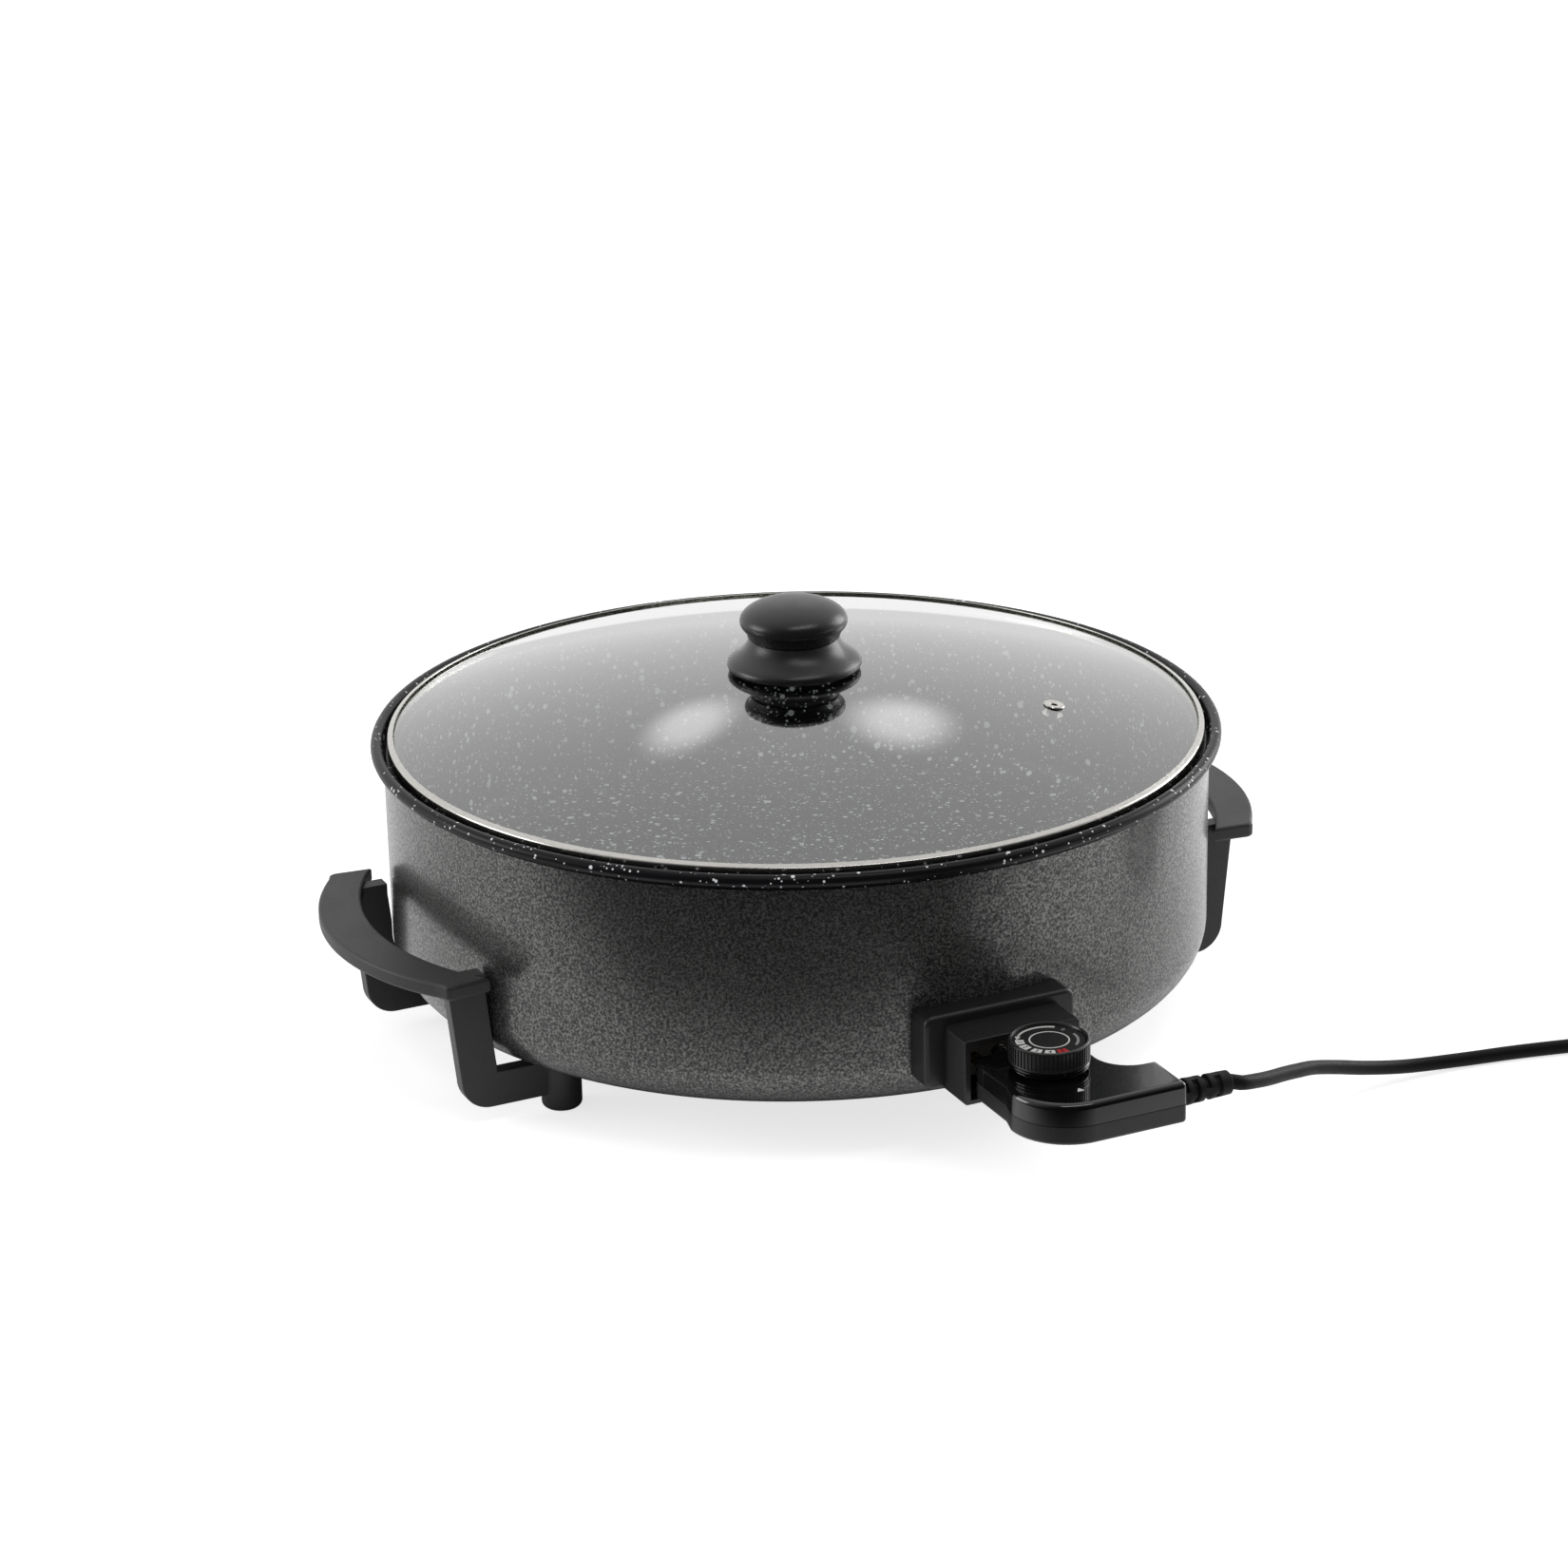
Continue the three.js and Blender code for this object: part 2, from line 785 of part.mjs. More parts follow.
// A tool at the vent: standing along the glass's own normal
function atVent(geometry) {
  const tilt = Math.asin(lid.ventPlace / domeRadius);
  geometry.rotateY(tilt).translate(lid.ventPlace, 0, domeAt(lid.ventPlace, 0));
  return geometry.rotateZ(THREE.MathUtils.degToRad(lid.ventAngle));
}

function makeLid() {
  const steps = 6;
  const radii = Array.from(
    { length: steps + 1 },
    (_, i) => lid.knobHoleRadius + ((glassRadius - lid.knobHoleRadius) * i) / steps,
  );
  const under = radii.map((r) => [r, domeAt(r, lid.glassThickness)]);
  const over = radii.map((r) => [r, domeAt(r, 0)]).reverse();
  const hole = atVent(cylinder(lid.ventRadius + gap, -2 * lid.glassThickness, lid.glassThickness));
  const glass = solid(turned([...under, ...over], facets.lid)).subtract(solid(hole));
  add(lidGroup, "lid_glass", glass, paints.glass);

  const t = lid.bandThickness;
  const inner = bandRadius - t;
  const lip = bandRadius - lid.bandLip;
  const top = glassEdge + lid.glassThickness + gap + t;
  const band = [
    [inner, bandBottom],
    [bandRadius, bandBottom],
    [bandRadius, top],
    [lip, top + lid.bandLip * (glassRadius / domeRadius)],
    [lip, top - t + lid.bandLip * (glassRadius / domeRadius)],
    [inner, top - t],
    [inner, bandSeat + t],
    [lip, bandSeat + t],
    [lip, bandSeat],
    [inner, bandSeat],
  ];
  add(lidGroup, "lid_band", solid(turned(band, facets.lid)), paints.steel);

  const flangeUp = gap;
  const flangeDown = -lid.glassThickness - gap;
  const eyelet = turned(
    [
      [lid.ventBore, flangeDown - lid.ventSheet],
      [lid.ventFlange, flangeDown - lid.ventSheet],
      [lid.ventFlange, flangeDown],
      [lid.ventRadius, flangeDown],
      [lid.ventRadius, flangeUp],
      [lid.ventFlange, flangeUp],
      [lid.ventFlange, flangeUp + lid.ventSheet],
      [lid.ventBore, flangeUp + lid.ventSheet],
    ],
    facets.post,
  );
  add(lidGroup, "vent_eyelet", solid(atVent(eyelet)), paints.steel);
}

// Knob: flared base, mushroom cap, seal, washer and the screw from below
function makeKnob() {
  const bottom = glassTop + knob.rimLift;
  const baseTop = bottom + knob.baseHeight;
  const bore = knob.screwRadius + gap;
  const base = [
    [bore, bottom + knob.sealThickness + gap],
    [knob.recessRadius, bottom + knob.sealThickness + gap],
    [knob.recessRadius, bottom],
    [knob.baseRadius - knob.baseRim / 2, bottom],
    ...arc(knob.baseRadius - knob.baseRim / 2, bottom + knob.baseRim / 2, knob.baseRim / 2, -60, 60, 3),
    [knob.baseNeck + knob.baseRim, baseTop - knob.baseHeight / 3],
    [knob.baseNeck, baseTop],
    [bore, baseTop],
  ];
  add(lidGroup, "knob_base", solid(turned(base, facets.knob)), paints.bakelite);

  const capBottom = baseTop + gap;
  const skirtTop = capBottom + knob.capSkirtHeight;
  const widest = skirtTop + knob.capShoulder;
  const crown = Array.from({ length: 6 }, (_, i) => {
    const a = (Math.PI / 2) * ((i + 1) / 6);
    return [knob.capRadius * Math.cos(a), widest + knob.capCrown * Math.sin(a)];
  });
  crown.at(-1)[0] = 0;
  const reach = bottom + knob.screwReach - knob.washerThickness - lid.glassThickness;
  const cap = [
    [0, reach + gap],
    [bore, reach + gap],
    [bore, capBottom],
    [knob.capNeck, capBottom],
    [knob.capNeck, capBottom + knob.capSkirtHeight / 2],
    [knob.capSkirt, skirtTop],
    [knob.capRadius, widest],
    ...crown,
  ];
  add(lidGroup, "knob_cap", solid(turned(cap, facets.knob)), paints.bakelite);

  const sealBottom = glassTop + gap / 3;
  const seal = sleeve(bore, knob.recessRadius - gap, sealBottom, sealBottom + knob.sealThickness, facets.post);
  add(lidGroup, "knob_seal", solid(seal), paints.rubber);

  const washerTop = glassTop - lid.glassThickness - gap;
  const washerBottom = washerTop - knob.washerThickness;
  add(
    lidGroup,
    "knob_washer",
    solid(sleeve(bore, knob.washerRadius, washerBottom, washerTop, facets.post)),
    paints.steel,
  );

  const headTop = washerBottom - gap;
  const screw = turned(
    [
      [0, headTop - knob.screwHeadHeight],
      [knob.screwHead, headTop - knob.screwHeadHeight],
      [knob.screwHead, headTop],
      [knob.screwRadius, headTop],
      [knob.screwRadius, reach],
      [0, reach],
    ],
    facets.small,
  );
  add(lidGroup, "knob_screw", solid(screw), paints.steel);
}

// The probe's shell seen from above, drawn in by an inset. It runs anticlockwise from the neck's right.
function probeOutline(inset) {
  const neck = probe.neckHalf - inset;
  const left = -(probe.neckHalf + probe.shoulder) + inset;
  const shoulderY = -(neckBack + probe.neckLength) + inset;
  const frontY = -probeFront + inset;
  const right = probe.armReach - inset;
  const armBack = -(probeFront - probe.armWidth) - inset;
  const notch = probe.notchRadius + inset;
  const notchX = probe.neckHalf + probe.notchRadius;
  const notchY = -(probeFront - probe.armWidth) + probe.notchRadius;
  const front = probe.frontRadius - inset;
  return [
    [neck, -neckBack - inset],
    [-neck, -neckBack - inset],
    [-neck, shoulderY + probe.shoulderSlope],
    ...arc(left + front, frontY + front, front, 180, 270, 7),
    [right, frontY],
    [right, armBack],
    ...arc(notchX, notchY, notch, -90, -180, 6),
  ];
}

// Places of the two screws that close the probe
const probeScrews = () => [
  [-(probe.neckHalf - probe.bossInset), -(probeFront - probe.bossDistance)],
  [probe.neckHalf + probe.bossRadius, -(probeFront - probe.armWidth / 2)],
];

// Openings in both halves: sensor rod, contact sleeves and strain relief
function probeOpenings() {
  const cuts = [];
  const start = neckBack - overrun;
  const end = neckBack + probe.wall + overrun;
  const sleeveRadius = socket.pinRadius + gap + probe.sleeveWall;
  for (const [x, radius] of [
    [-element.leadSpacing / 2, sleeveRadius],
    [0, probe.rodRadius],
    [element.leadSpacing / 2, sleeveRadius],
  ]) {
    const hole = alongFront(cylinder(radius + gap, start, end));
    cuts.push(solid(hole.translate(x, 0, axisHeight)));
  }
  const mouth = alongRight(
    cylinder(relief.neckRadius + gap, probe.armReach - probe.wall - overrun, probe.armReach + overrun),
  );
  cuts.push(solid(mouth.translate(0, armCentreY, reliefHeight)));
  return cuts;
}

function makeProbe() {
  const { bottom, wall } = probe;
  const outline = probeOutline(0);
  const hollow = (round) => solid(raised(probeOutline(wall), bottom + wall, probeTop - wall, round));
  const limits = [
    -probe.armReach - overrun,
    probe.armReach + overrun,
    -probeFront - overrun,
    -neckBack + overrun,
  ];
  const above = solid(block(...limits, seamHeight, probeTop + overrun));
  const below = solid(block(...limits, bottom - overrun, seamHeight - gap));
  const openings = probeOpenings();

  let top = solid(raised(outline, bottom, probeTop, probe.topRound)).intersect(above);
  top = top.subtract(hollow(probe.topRound - wall));
  let base = solid(raised(outline, bottom, probeTop, probe.bottomRound)).intersect(below);
  base = base.subtract(hollow(0));
  const screwTop = bottom + probe.screwHeadHeight + probe.screwLength;
  for (const [x, y] of probeScrews()) {
    const upper = cylinder(probe.bossRadius, seamHeight, probeTop - wall / 2);
    const lower = cylinder(probe.bossRadius, bottom + wall / 2, seamHeight - gap);
    top = top.add(solid(upper.translate(x, y, 0)));
    base = base.add(solid(lower.translate(x, y, 0)));
    const bore = solid(
      cylinder(probe.screwRadius + gap, bottom - overrun, screwTop + gap).translate(x, y, 0),
    );
    const headRoom = cylinder(probe.screwHead + gap, bottom - overrun, bottom + probe.screwHeadHeight + gap);
    top = top.subtract(bore);
    base = base.subtract(bore).subtract(solid(headRoom.translate(x, y, 0)));
  }
  for (const cut of openings) {
    top = top.subtract(cut);
    base = base.subtract(cut);
  }
  const shaftHole = cylinder(dial.shaftRadius + gap, seamHeight, probeTop + overrun);
  top = top.subtract(solid(shaftHole.translate(0, dialY, 0)));
  add(probeGroup, "probe_top_shell", top, paints.gloss);
  add(probeGroup, "probe_bottom_shell", base, paints.satin);

  probeScrews().forEach(([x, y], i) => {
    const screw = turned(
      [
        [0, bottom],
        [probe.screwHead, bottom],
        [probe.screwHead, bottom + probe.screwHeadHeight],
        [probe.screwRadius, bottom + probe.screwHeadHeight],
        [probe.screwRadius, screwTop],
        [0, screwTop],
      ],
      facets.small,
    );
    add(probeGroup, `probe_screw_${i + 1}`, solid(screw.translate(x, y, 0)), paints.steel);
  });
  makeProbeInside();
}

function makeProbeInside() {
  const rodBack = neckBack + probe.wall + gap + probe.sleeveLength;
  const rod = alongFront(cylinder(probe.rodRadius, rodBack - probe.rodLength, rodBack));
  add(probeGroup, "sensor_rod", solid(rod.translate(0, 0, axisHeight)), paints.steel);

  const bore = socket.pinRadius + gap;
  for (const [side, word] of [[-1, "left"], [1, "right"]]) {
    const contact = alongFront(sleeve(bore, bore + probe.sleeveWall, neckBack + gap, rodBack));
    contact.translate((side * element.leadSpacing) / 2, 0, axisHeight);
    add(probeGroup, `contact_sleeve_${word}`, solid(contact), paints.brass);
  }

  const blockStart = -(rodBack + gap);
  const body = block(
    -probe.blockHalf,
    probe.blockHalf,
    blockStart - probe.blockLength,
    blockStart,
    probe.bottom + probe.wall + gap,
    probe.bottom + probe.wall + gap + probe.blockHeight,
  );
  add(probeGroup, "thermostat_block", solid(body), paints.ceramic);
}

// Dial on its collar, with the printed plate and the shaft that works the thermostat
function makeDial() {
  const collarBottom = probeTop + gap;
  const collarTop = collarBottom + dial.collarHeight;
  const step = dial.collarHeight / 3;
  const collar = turned(
    [
      [dial.collarBore, collarBottom],
      [dial.collarFoot, collarBottom],
      [dial.collarFoot, collarBottom + step],
      [dial.collarRadius, collarBottom + 2 * step],
      [dial.collarRadius, collarTop],
      [dial.collarBore, collarTop],
    ],
    facets.dial,
  );
  add(probeGroup, "dial_collar", solid(collar.translate(0, dialY, 0)), paints.gloss);

  const bottom = collarTop + gap;
  const plateTop = dialTop - dial.plateDrop;
  const plateSeat = plateTop - dial.plateThickness - gap;
  const shaftTop = bottom + dial.shaftDepth;
  const cap = turned(
    [
      [dial.shaftRadius + gap, bottom],
      [dial.radius, bottom],
      [dial.radius, dialTop - dial.chamfer],
      [dial.radius - dial.chamfer, dialTop],
      [dial.plateRadius + gap, dialTop],
      [dial.plateRadius + gap, plateSeat],
      [0, plateSeat],
      [0, shaftTop + gap],
      [dial.shaftRadius + gap, shaftTop + gap],
    ],
    facets.dial,
  );
  add(dialGroup, "dial_cap", solid(cap), paints.gloss);
  const plate = cylinder(dial.plateRadius, plateSeat + gap, plateTop, facets.dial);
  add(dialGroup, "dial_plate", solid(plate), paints.satin);

  const camTop = probeTop - probe.wall - gap;
  const camBottom = camTop - dial.camHeight;
  const shaft = turned(
    [
      [0, camBottom],
      [dial.camRadius, camBottom],
      [dial.camRadius, camTop],
      [dial.shaftRadius, camTop],
      [dial.shaftRadius, shaftTop],
      [0, shaftTop],
    ],
    facets.post,
  );
  add(dialGroup, "dial_shaft", solid(shaft), paints.brass);
  dialGroup.position.y = dialY;
}

// Ribbed strain relief, gripped in the end wall of the arm
function makeRelief() {
  const start = probe.armReach + gap;
  const pitch = relief.length / relief.ribs;
  const outerAt = (x) =>
    relief.radius + ((relief.endRadius - relief.radius) * (x - start)) / relief.length;
  const ribs = [];
  for (let i = 0; i < relief.ribs; i += 1) {
    const x0 = start + i * pitch;
    const x1 = x0 + pitch * 0.6;
    ribs.push([outerAt(x0), x0], [outerAt(x1), x1]);
    if (i < relief.ribs - 1)
      ribs.push([outerAt(x1) - relief.groove, x1 + pitch * 0.1], [outerAt(x0 + pitch) - relief.groove, x0 + pitch * 0.9]);
  }
  const flangeEnd = probe.armReach - probe.wall - gap;
  const profile = [
    [0, flangeEnd - relief.flangeLength],
    [relief.flangeRadius, flangeEnd - relief.flangeLength],
    [relief.flangeRadius, flangeEnd],
    [relief.neckRadius, flangeEnd],
    [relief.neckRadius, start],
    ...ribs,
    [outerAt(reliefEnd), reliefEnd],
    [0, reliefEnd],
  ];
  const made = alongRight(turned(profile, facets.post));
  made.translate(0, armCentreY, reliefHeight);
  add(probeGroup, "strain_relief", solid(made), paints.rubber);
}

// Coil: in over the lower layer, up a layer in the half turn where it reverses, out over the upper one
function coilPoints() {
  const low = tie.thickness + gap + cordRadius;
  const points = [];
  const half = 0.5;
  const inner = cord.coilRadius - cord.pitch * cord.innerTurns;
  const total = cord.innerTurns + half + cord.outerTurns;
  const count = Math.round(total * cord.stepsPerTurn);
  for (let i = 0; i <= count; i += 1) {
    const turn = i / cord.stepsPerTurn;
    const climb = THREE.MathUtils.clamp((turn - cord.innerTurns) / half, 0, 1);
    let r = cord.coilRadius - cord.pitch * turn;
    if (turn > cord.innerTurns) r = inner;
    if (turn > cord.innerTurns + half) r = inner + cord.pitch * (turn - cord.innerTurns - half);
    const a = THREE.MathUtils.degToRad(cord.startAngle) + turn * 2 * Math.PI;
    const lift = cord.pitch * (1 - Math.cos(Math.PI * climb)) * half;
    points.push(
      new THREE.Vector3(
        cord.coilCentreX + r * Math.cos(a),
        cord.coilCentreY + r * Math.sin(a),
        low + lift,
      ),
    );
  }
  return points;
}

// Runs an end straight on for one cord diameter, square to what it meets
function withStraightEnds(points) {
  const first = points[0].clone().sub(points[1]).setZ(0).setLength(cord.diameter);
  const last = points.at(-1).clone().sub(points.at(-2)).setZ(0).setLength(cord.diameter);
  return [points[0].clone().add(first), ...points, points.at(-1).clone().add(last)];
}

// The least distance between strands of the coil that lie at least half a turn apart
function leastGap(points) {
  let least = Infinity;
  const apart = cord.stepsPerTurn / 2;
  for (let i = 0; i < points.length; i += 1)
    for (let j = i + apart; j < points.length; j += 1)
      least = Math.min(least, points[i].distanceTo(points[j]));
  return least - cord.diameter;
}

// A tube of flat-sided rings through the given points, closed at both ends
function ringTube(points, radius, sides) {
  const positions = [];
  const index = [];
  const up = new THREE.Vector3(0, 0, 1);
  points.forEach((point, i) => {
    const before = points[Math.max(i - 1, 0)];
    const after = points[Math.min(i + 1, points.length - 1)];
    const along = after.clone().sub(before).normalize();
    const side = along.clone().cross(up).normalize();
    const over = side.clone().cross(along);
    for (let k = 0; k < sides; k += 1) {
      const a = ((k + 0.5) * 2 * Math.PI) / sides;
      const offset = side.clone().multiplyScalar(radius * Math.cos(a));
      offset.addScaledVector(over, radius * Math.sin(a));
      positions.push(...point.clone().add(offset));
    }
  });
  for (let i = 0; i < points.length - 1; i += 1)
    for (let k = 0; k < sides; k += 1) {
      const [a, b] = [i * sides + k, i * sides + ((k + 1) % sides)];
      index.push(a, a + sides, b, b, a + sides, b + sides);
    }
  const end = (points.length - 1) * sides;
  for (let k = 1; k < sides - 1; k += 1) {
    index.push(0, k, k + 1);
    index.push(end, end + k + 1, end + k);
  }
  const geometry = new THREE.BufferGeometry();
  geometry.setAttribute("position", new THREE.Float32BufferAttribute(positions, 3));
  geometry.setIndex(index);
  return geometry;
}

function makeCord() {
  const coil = withStraightEnds(coilPoints());
  console.log("coil: least gap to itself", leastGap(coil).toFixed(2), "mm");
  add(probeGroup, "cord_coil", solid(ringTube(coil, cordRadius, cord.coilSides)), paints.cord);

  const start = new THREE.Vector3(reliefEnd + gap, armCentreY, reliefHeight);
  const ahead = start.clone().setX(start.x + overrun);
  const [coilIn, beforeCoil] = meeting(coil[0], coil[1]);
  const run = freeLead([start, ahead], runRoute, [beforeCoil, coilIn], cord.steps);
  add(probeGroup, "cord_run", solid(ringTube(run, cordRadius, cord.sides)), paints.cord);

  const [coilOut, afterCoil] = meeting(coil.at(-1), coil.at(-2));
  const bootEnd = new THREE.Vector3(plug.x, plug.y - gap, plug.radius);
  const beforeBoot = bootEnd.clone().setY(bootEnd.y - overrun);
  const tail = freeLead([coilOut, afterCoil], tailRoute, [beforeBoot, bootEnd], cord.tailSteps);
  add(probeGroup, "cord_tail", solid(ringTube(tail, cordRadius, cord.sides)), paints.cord);
  const length = lengthOf(run) + lengthOf(tail) + lengthOf(coil);
  console.log("cord: length", length.toFixed(0), "mm");
}

// The end of the lead that meets a coil's end squarely, and a point a little way along it
function meeting(end, inside) {
  const away = end.clone().sub(inside).setLength(gap);
  const at = end.clone().add(away);
  return [at, at.clone().add(away.setLength(overrun))];
}

function freeLead(first, route, last, steps) {
  const through = [first[1], ...route.map((p) => new THREE.Vector3(...p)), last[0]];
  const curve = new THREE.CatmullRomCurve3(through, false, "centripetal");
  return [first[0], ...curve.getSpacedPoints(steps), last[1]];
}

function lengthOf(points) {
  return points.slice(1).reduce((sum, p, i) => sum + p.distanceTo(points[i]), 0);
}

// The tie round the coil's turns
function makeTie() {
  const inner = cord.coilRadius - cord.pitch * cord.innerTurns - cordRadius - tie.slack;
  const outer = cord.coilRadius + cord.pitch / 2 + cordRadius + tie.slack;
  const top = tie.thickness + gap + cord.diameter + cord.pitch + gap;
  const ring = solid(block(inner - tie.thickness, outer + tie.thickness, 0, tie.width, 0, top + tie.thickness));
  const room = block(inner, outer, -overrun, tie.width + overrun, tie.thickness, top);
  const made = geometryOf(ring.subtract(solid(room)));
  made.translate(0, -tie.width / 2, 0).rotateZ(THREE.MathUtils.degToRad(tie.angle));
  made.translate(cord.coilCentreX, cord.coilCentreY, 0);
  add(probeGroup, "cord_tie", made, paints.rubber);
}

// Mains plug lying on its side, pins pointing +Y
function makePlug() {
  const { radius, bodyLength, faceBevel, gripRadius, gripLength, bootLength } = plug;
  const bootTop = bootLength;
  const bodyStart = bootTop + gripLength;
  const face = bodyStart + bodyLength;
  const profile = [
    [0, 0],
    [plug.bootEnd, 0],
    [plug.bootRadius, bootTop],
    [gripRadius, bootTop + faceBevel],
    [gripRadius, bodyStart - gripLength / 3],
    [radius, bodyStart],
    [radius, face - faceBevel],
    [radius - faceBevel, face],
    [0, face],
  ];
  const alongBack = (geometry) =>
    geometry.rotateX(-Math.PI / 2).translate(plug.x, plug.y, radius);
  let body = solid(alongBack(turned(profile, facets.post)));
  for (const side of [-1, 1]) {
    const seat = cylinder(plug.pinRadius + gap, face - plug.pinSeat - gap, face + overrun);
    seat.translate((side * plug.pinSpacing) / 2, 0, 0);
    body = body.subtract(solid(alongBack(seat)));
    const pin = cylinder(plug.pinRadius, face - plug.pinSeat, face + plug.pinLength);
    pin.translate((side * plug.pinSpacing) / 2, 0, 0);
    const word = side < 0 ? "left" : "right";
    add(probeGroup, `plug_pin_${word}`, solid(alongBack(pin)), paints.steel);
  }
  const floorCut = block(
    plug.x - radius,
    plug.x + radius,
    plug.y - overrun,
    plug.y + face + overrun,
    -radius,
    plug.restFlat,
  );
  add(probeGroup, "plug_body", body.subtract(solid(floorCut)), paints.rubber);
}

makeShell();
makePan();
makeElement();
makeClips();
makeSocket();
makeHandles();
makeFeetFixings();
makeLid();
makeKnob();
makeProbe();
makeDial();
makeRelief();
makeCord();
makeTie();
makePlug();

// The origin is on the table, under the middle of the skillet's own length and width
const backReach = beadRing + pan.beadRadius;
root.position.y = (probeFront - backReach) / 2;

export default root;
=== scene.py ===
# Electric skillet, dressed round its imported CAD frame: double-walled pan, glass lid, two handle
# mouldings that end in feet, and a plug-in thermostat probe on its mains lead.
# Profiles are written in millimetres and brought to metres where they are used.
import json
import math

import bpy
from mathutils import Matrix, Vector
from mathutils.kdtree import KDTree


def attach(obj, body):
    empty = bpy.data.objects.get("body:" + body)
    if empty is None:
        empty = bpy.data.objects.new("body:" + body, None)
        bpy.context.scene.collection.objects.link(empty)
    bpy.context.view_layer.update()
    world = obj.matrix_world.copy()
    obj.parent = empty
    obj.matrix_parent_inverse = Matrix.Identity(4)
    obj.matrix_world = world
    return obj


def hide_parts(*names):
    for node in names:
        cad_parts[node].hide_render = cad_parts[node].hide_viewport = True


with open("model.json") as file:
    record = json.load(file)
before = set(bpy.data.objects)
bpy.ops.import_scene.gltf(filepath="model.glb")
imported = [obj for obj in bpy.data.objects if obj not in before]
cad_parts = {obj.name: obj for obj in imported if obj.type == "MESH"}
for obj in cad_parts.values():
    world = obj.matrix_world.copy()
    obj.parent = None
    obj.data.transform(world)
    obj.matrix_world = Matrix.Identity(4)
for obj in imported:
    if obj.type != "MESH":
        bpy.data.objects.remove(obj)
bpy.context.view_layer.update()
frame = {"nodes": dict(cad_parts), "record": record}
mm = 0.001
panY = 0.047  # the pan's upright axis, in the frame
spare = 2.0  # millimetres that a cutting tool reaches past what it cuts
flush = 1e-6  # metres: nearer than this counts as level
weld = 2e-6  # metres: points nearer than this are merged
print("frame loaded:", len(frame["nodes"]), "nodes")


# small helpers
def use(piece):
    bpy.ops.object.select_all(action="DESELECT")
    piece.select_set(True)
    bpy.context.view_layer.objects.active = piece


def editing(piece, mode="VERT"):
    use(piece)
    bpy.ops.object.mode_set(mode="EDIT")
    bpy.ops.mesh.select_mode(type=mode)
    bpy.ops.mesh.select_all(action="DESELECT")


def leaveEdit():
    bpy.ops.object.mode_set(mode="OBJECT")


def pick(piece, kind, test, mode):
    # selects the vertices, edges or faces that pass the test, and goes into edit mode
    editing(piece, mode)
    leaveEdit()
    for part in getattr(piece.data, kind):
        part.select = bool(test(part))
    bpy.ops.object.mode_set(mode="EDIT")


def settle(piece):
    # the object to the origin, its place into its mesh
    use(piece)
    bpy.ops.object.transform_apply(location=True, rotation=True, scale=True)
    return piece


def startPoint(name, place):
    bpy.ops.object.select_all(action="DESELECT")
    bpy.ops.mesh.primitive_plane_add(size=0.01, location=place)
    piece = bpy.context.object
    piece.name = name
    piece.data.name = name
    bpy.ops.object.mode_set(mode="EDIT")
    bpy.ops.mesh.select_mode(type="VERT")
    bpy.ops.mesh.select_all(action="SELECT")
    bpy.ops.mesh.merge(type="CENTER")
    return piece


def drawThrough(points):
    for before, after in zip(points, points[1:]):
        step = Vector(after) - Vector(before)
        bpy.ops.mesh.extrude_region_move(TRANSFORM_OT_translate={"value": step})


def closeUp(piece):
    bpy.ops.object.mode_set(mode="EDIT")
    bpy.ops.mesh.select_mode(type="VERT")
    bpy.ops.mesh.select_all(action="SELECT")
    bpy.ops.mesh.remove_doubles(threshold=weld)
    bpy.ops.mesh.normals_make_consistent(inside=False)
    leaveEdit()
    return settle(piece)


def turnPiece(name, profile, steps, x=0.0, y=panY):
    # a profile of [radius, height] in millimetres, drawn and spun round an upright axis
    points = [(x + r * mm, y, z * mm) for r, z in profile]
    piece = startPoint(name, points[0])
    drawThrough(points)
    bpy.ops.mesh.select_all(action="SELECT")
    bpy.ops.mesh.spin(steps=steps, angle=2 * math.pi, center=(x, y, 0), axis=(0, 0, 1))
    return closeUp(piece)


def pushPiece(name, points, push):
    # a closed flat outline, filled and pushed out into a solid
    piece = startPoint(name, points[0])
    drawThrough(points)
    bpy.ops.mesh.select_all(action="SELECT")
    bpy.ops.mesh.edge_face_add()
    bpy.ops.mesh.extrude_region_move(TRANSFORM_OT_translate={"value": push})
    return closeUp(piece)


def raisePiece(name, outline, low, high):
    # a closed outline of [x, y] in metres, raised from low to high
    return pushPiece(name, [(x, y, low) for x, y in outline], (0, 0, high - low))


def stackPiece(name, rings):
    # closed rings with as many points each, joined one above the other into a solid
    piece = startPoint(name, rings[0][0])
    drawThrough(rings[0])
    bpy.ops.mesh.select_all(action="SELECT")
    bpy.ops.mesh.edge_face_add()
    start = Vector(rings[0][0])
    for before, ring in zip(rings, rings[1:]):
        bpy.ops.mesh.extrude_region_move()
        leaveEdit()
        tree = KDTree(len(before))
        for i, place in enumerate(before):
            tree.insert(Vector(place) - start, i)
        tree.balance()
        for vertex in piece.data.vertices:
            if vertex.select:
                vertex.co = Vector(ring[tree.find(vertex.co)[1]]) - start
        bpy.ops.object.mode_set(mode="EDIT")
    return closeUp(piece)


def bevelWhere(piece, test, width, segments):
    def chosen(edge):
        ends = [piece.data.vertices[i].co for i in edge.vertices]
        return test(*ends)

    pick(piece, "edges", chosen, "EDGE")
    bpy.ops.mesh.bevel(offset=width, segments=segments, affect="EDGES", clamp_overlap=True)
    leaveEdit()
    return piece


def finishWith(piece, kind, **settings):
    use(piece)
    step = piece.modifiers.new(kind.lower(), kind)
    for key, value in settings.items():
        setattr(step, key, value)
    bpy.ops.object.modifier_apply(modifier=step.name)
    return piece


def combine(piece, other, operation="UNION", keep=False):
    finishWith(piece, "BOOLEAN", operation=operation, object=other, solver="MANIFOLD")
    if not keep:
        bpy.data.objects.remove(other)
    return piece


def cut(piece, other, keep=False):
    return combine(piece, other, "DIFFERENCE", keep)


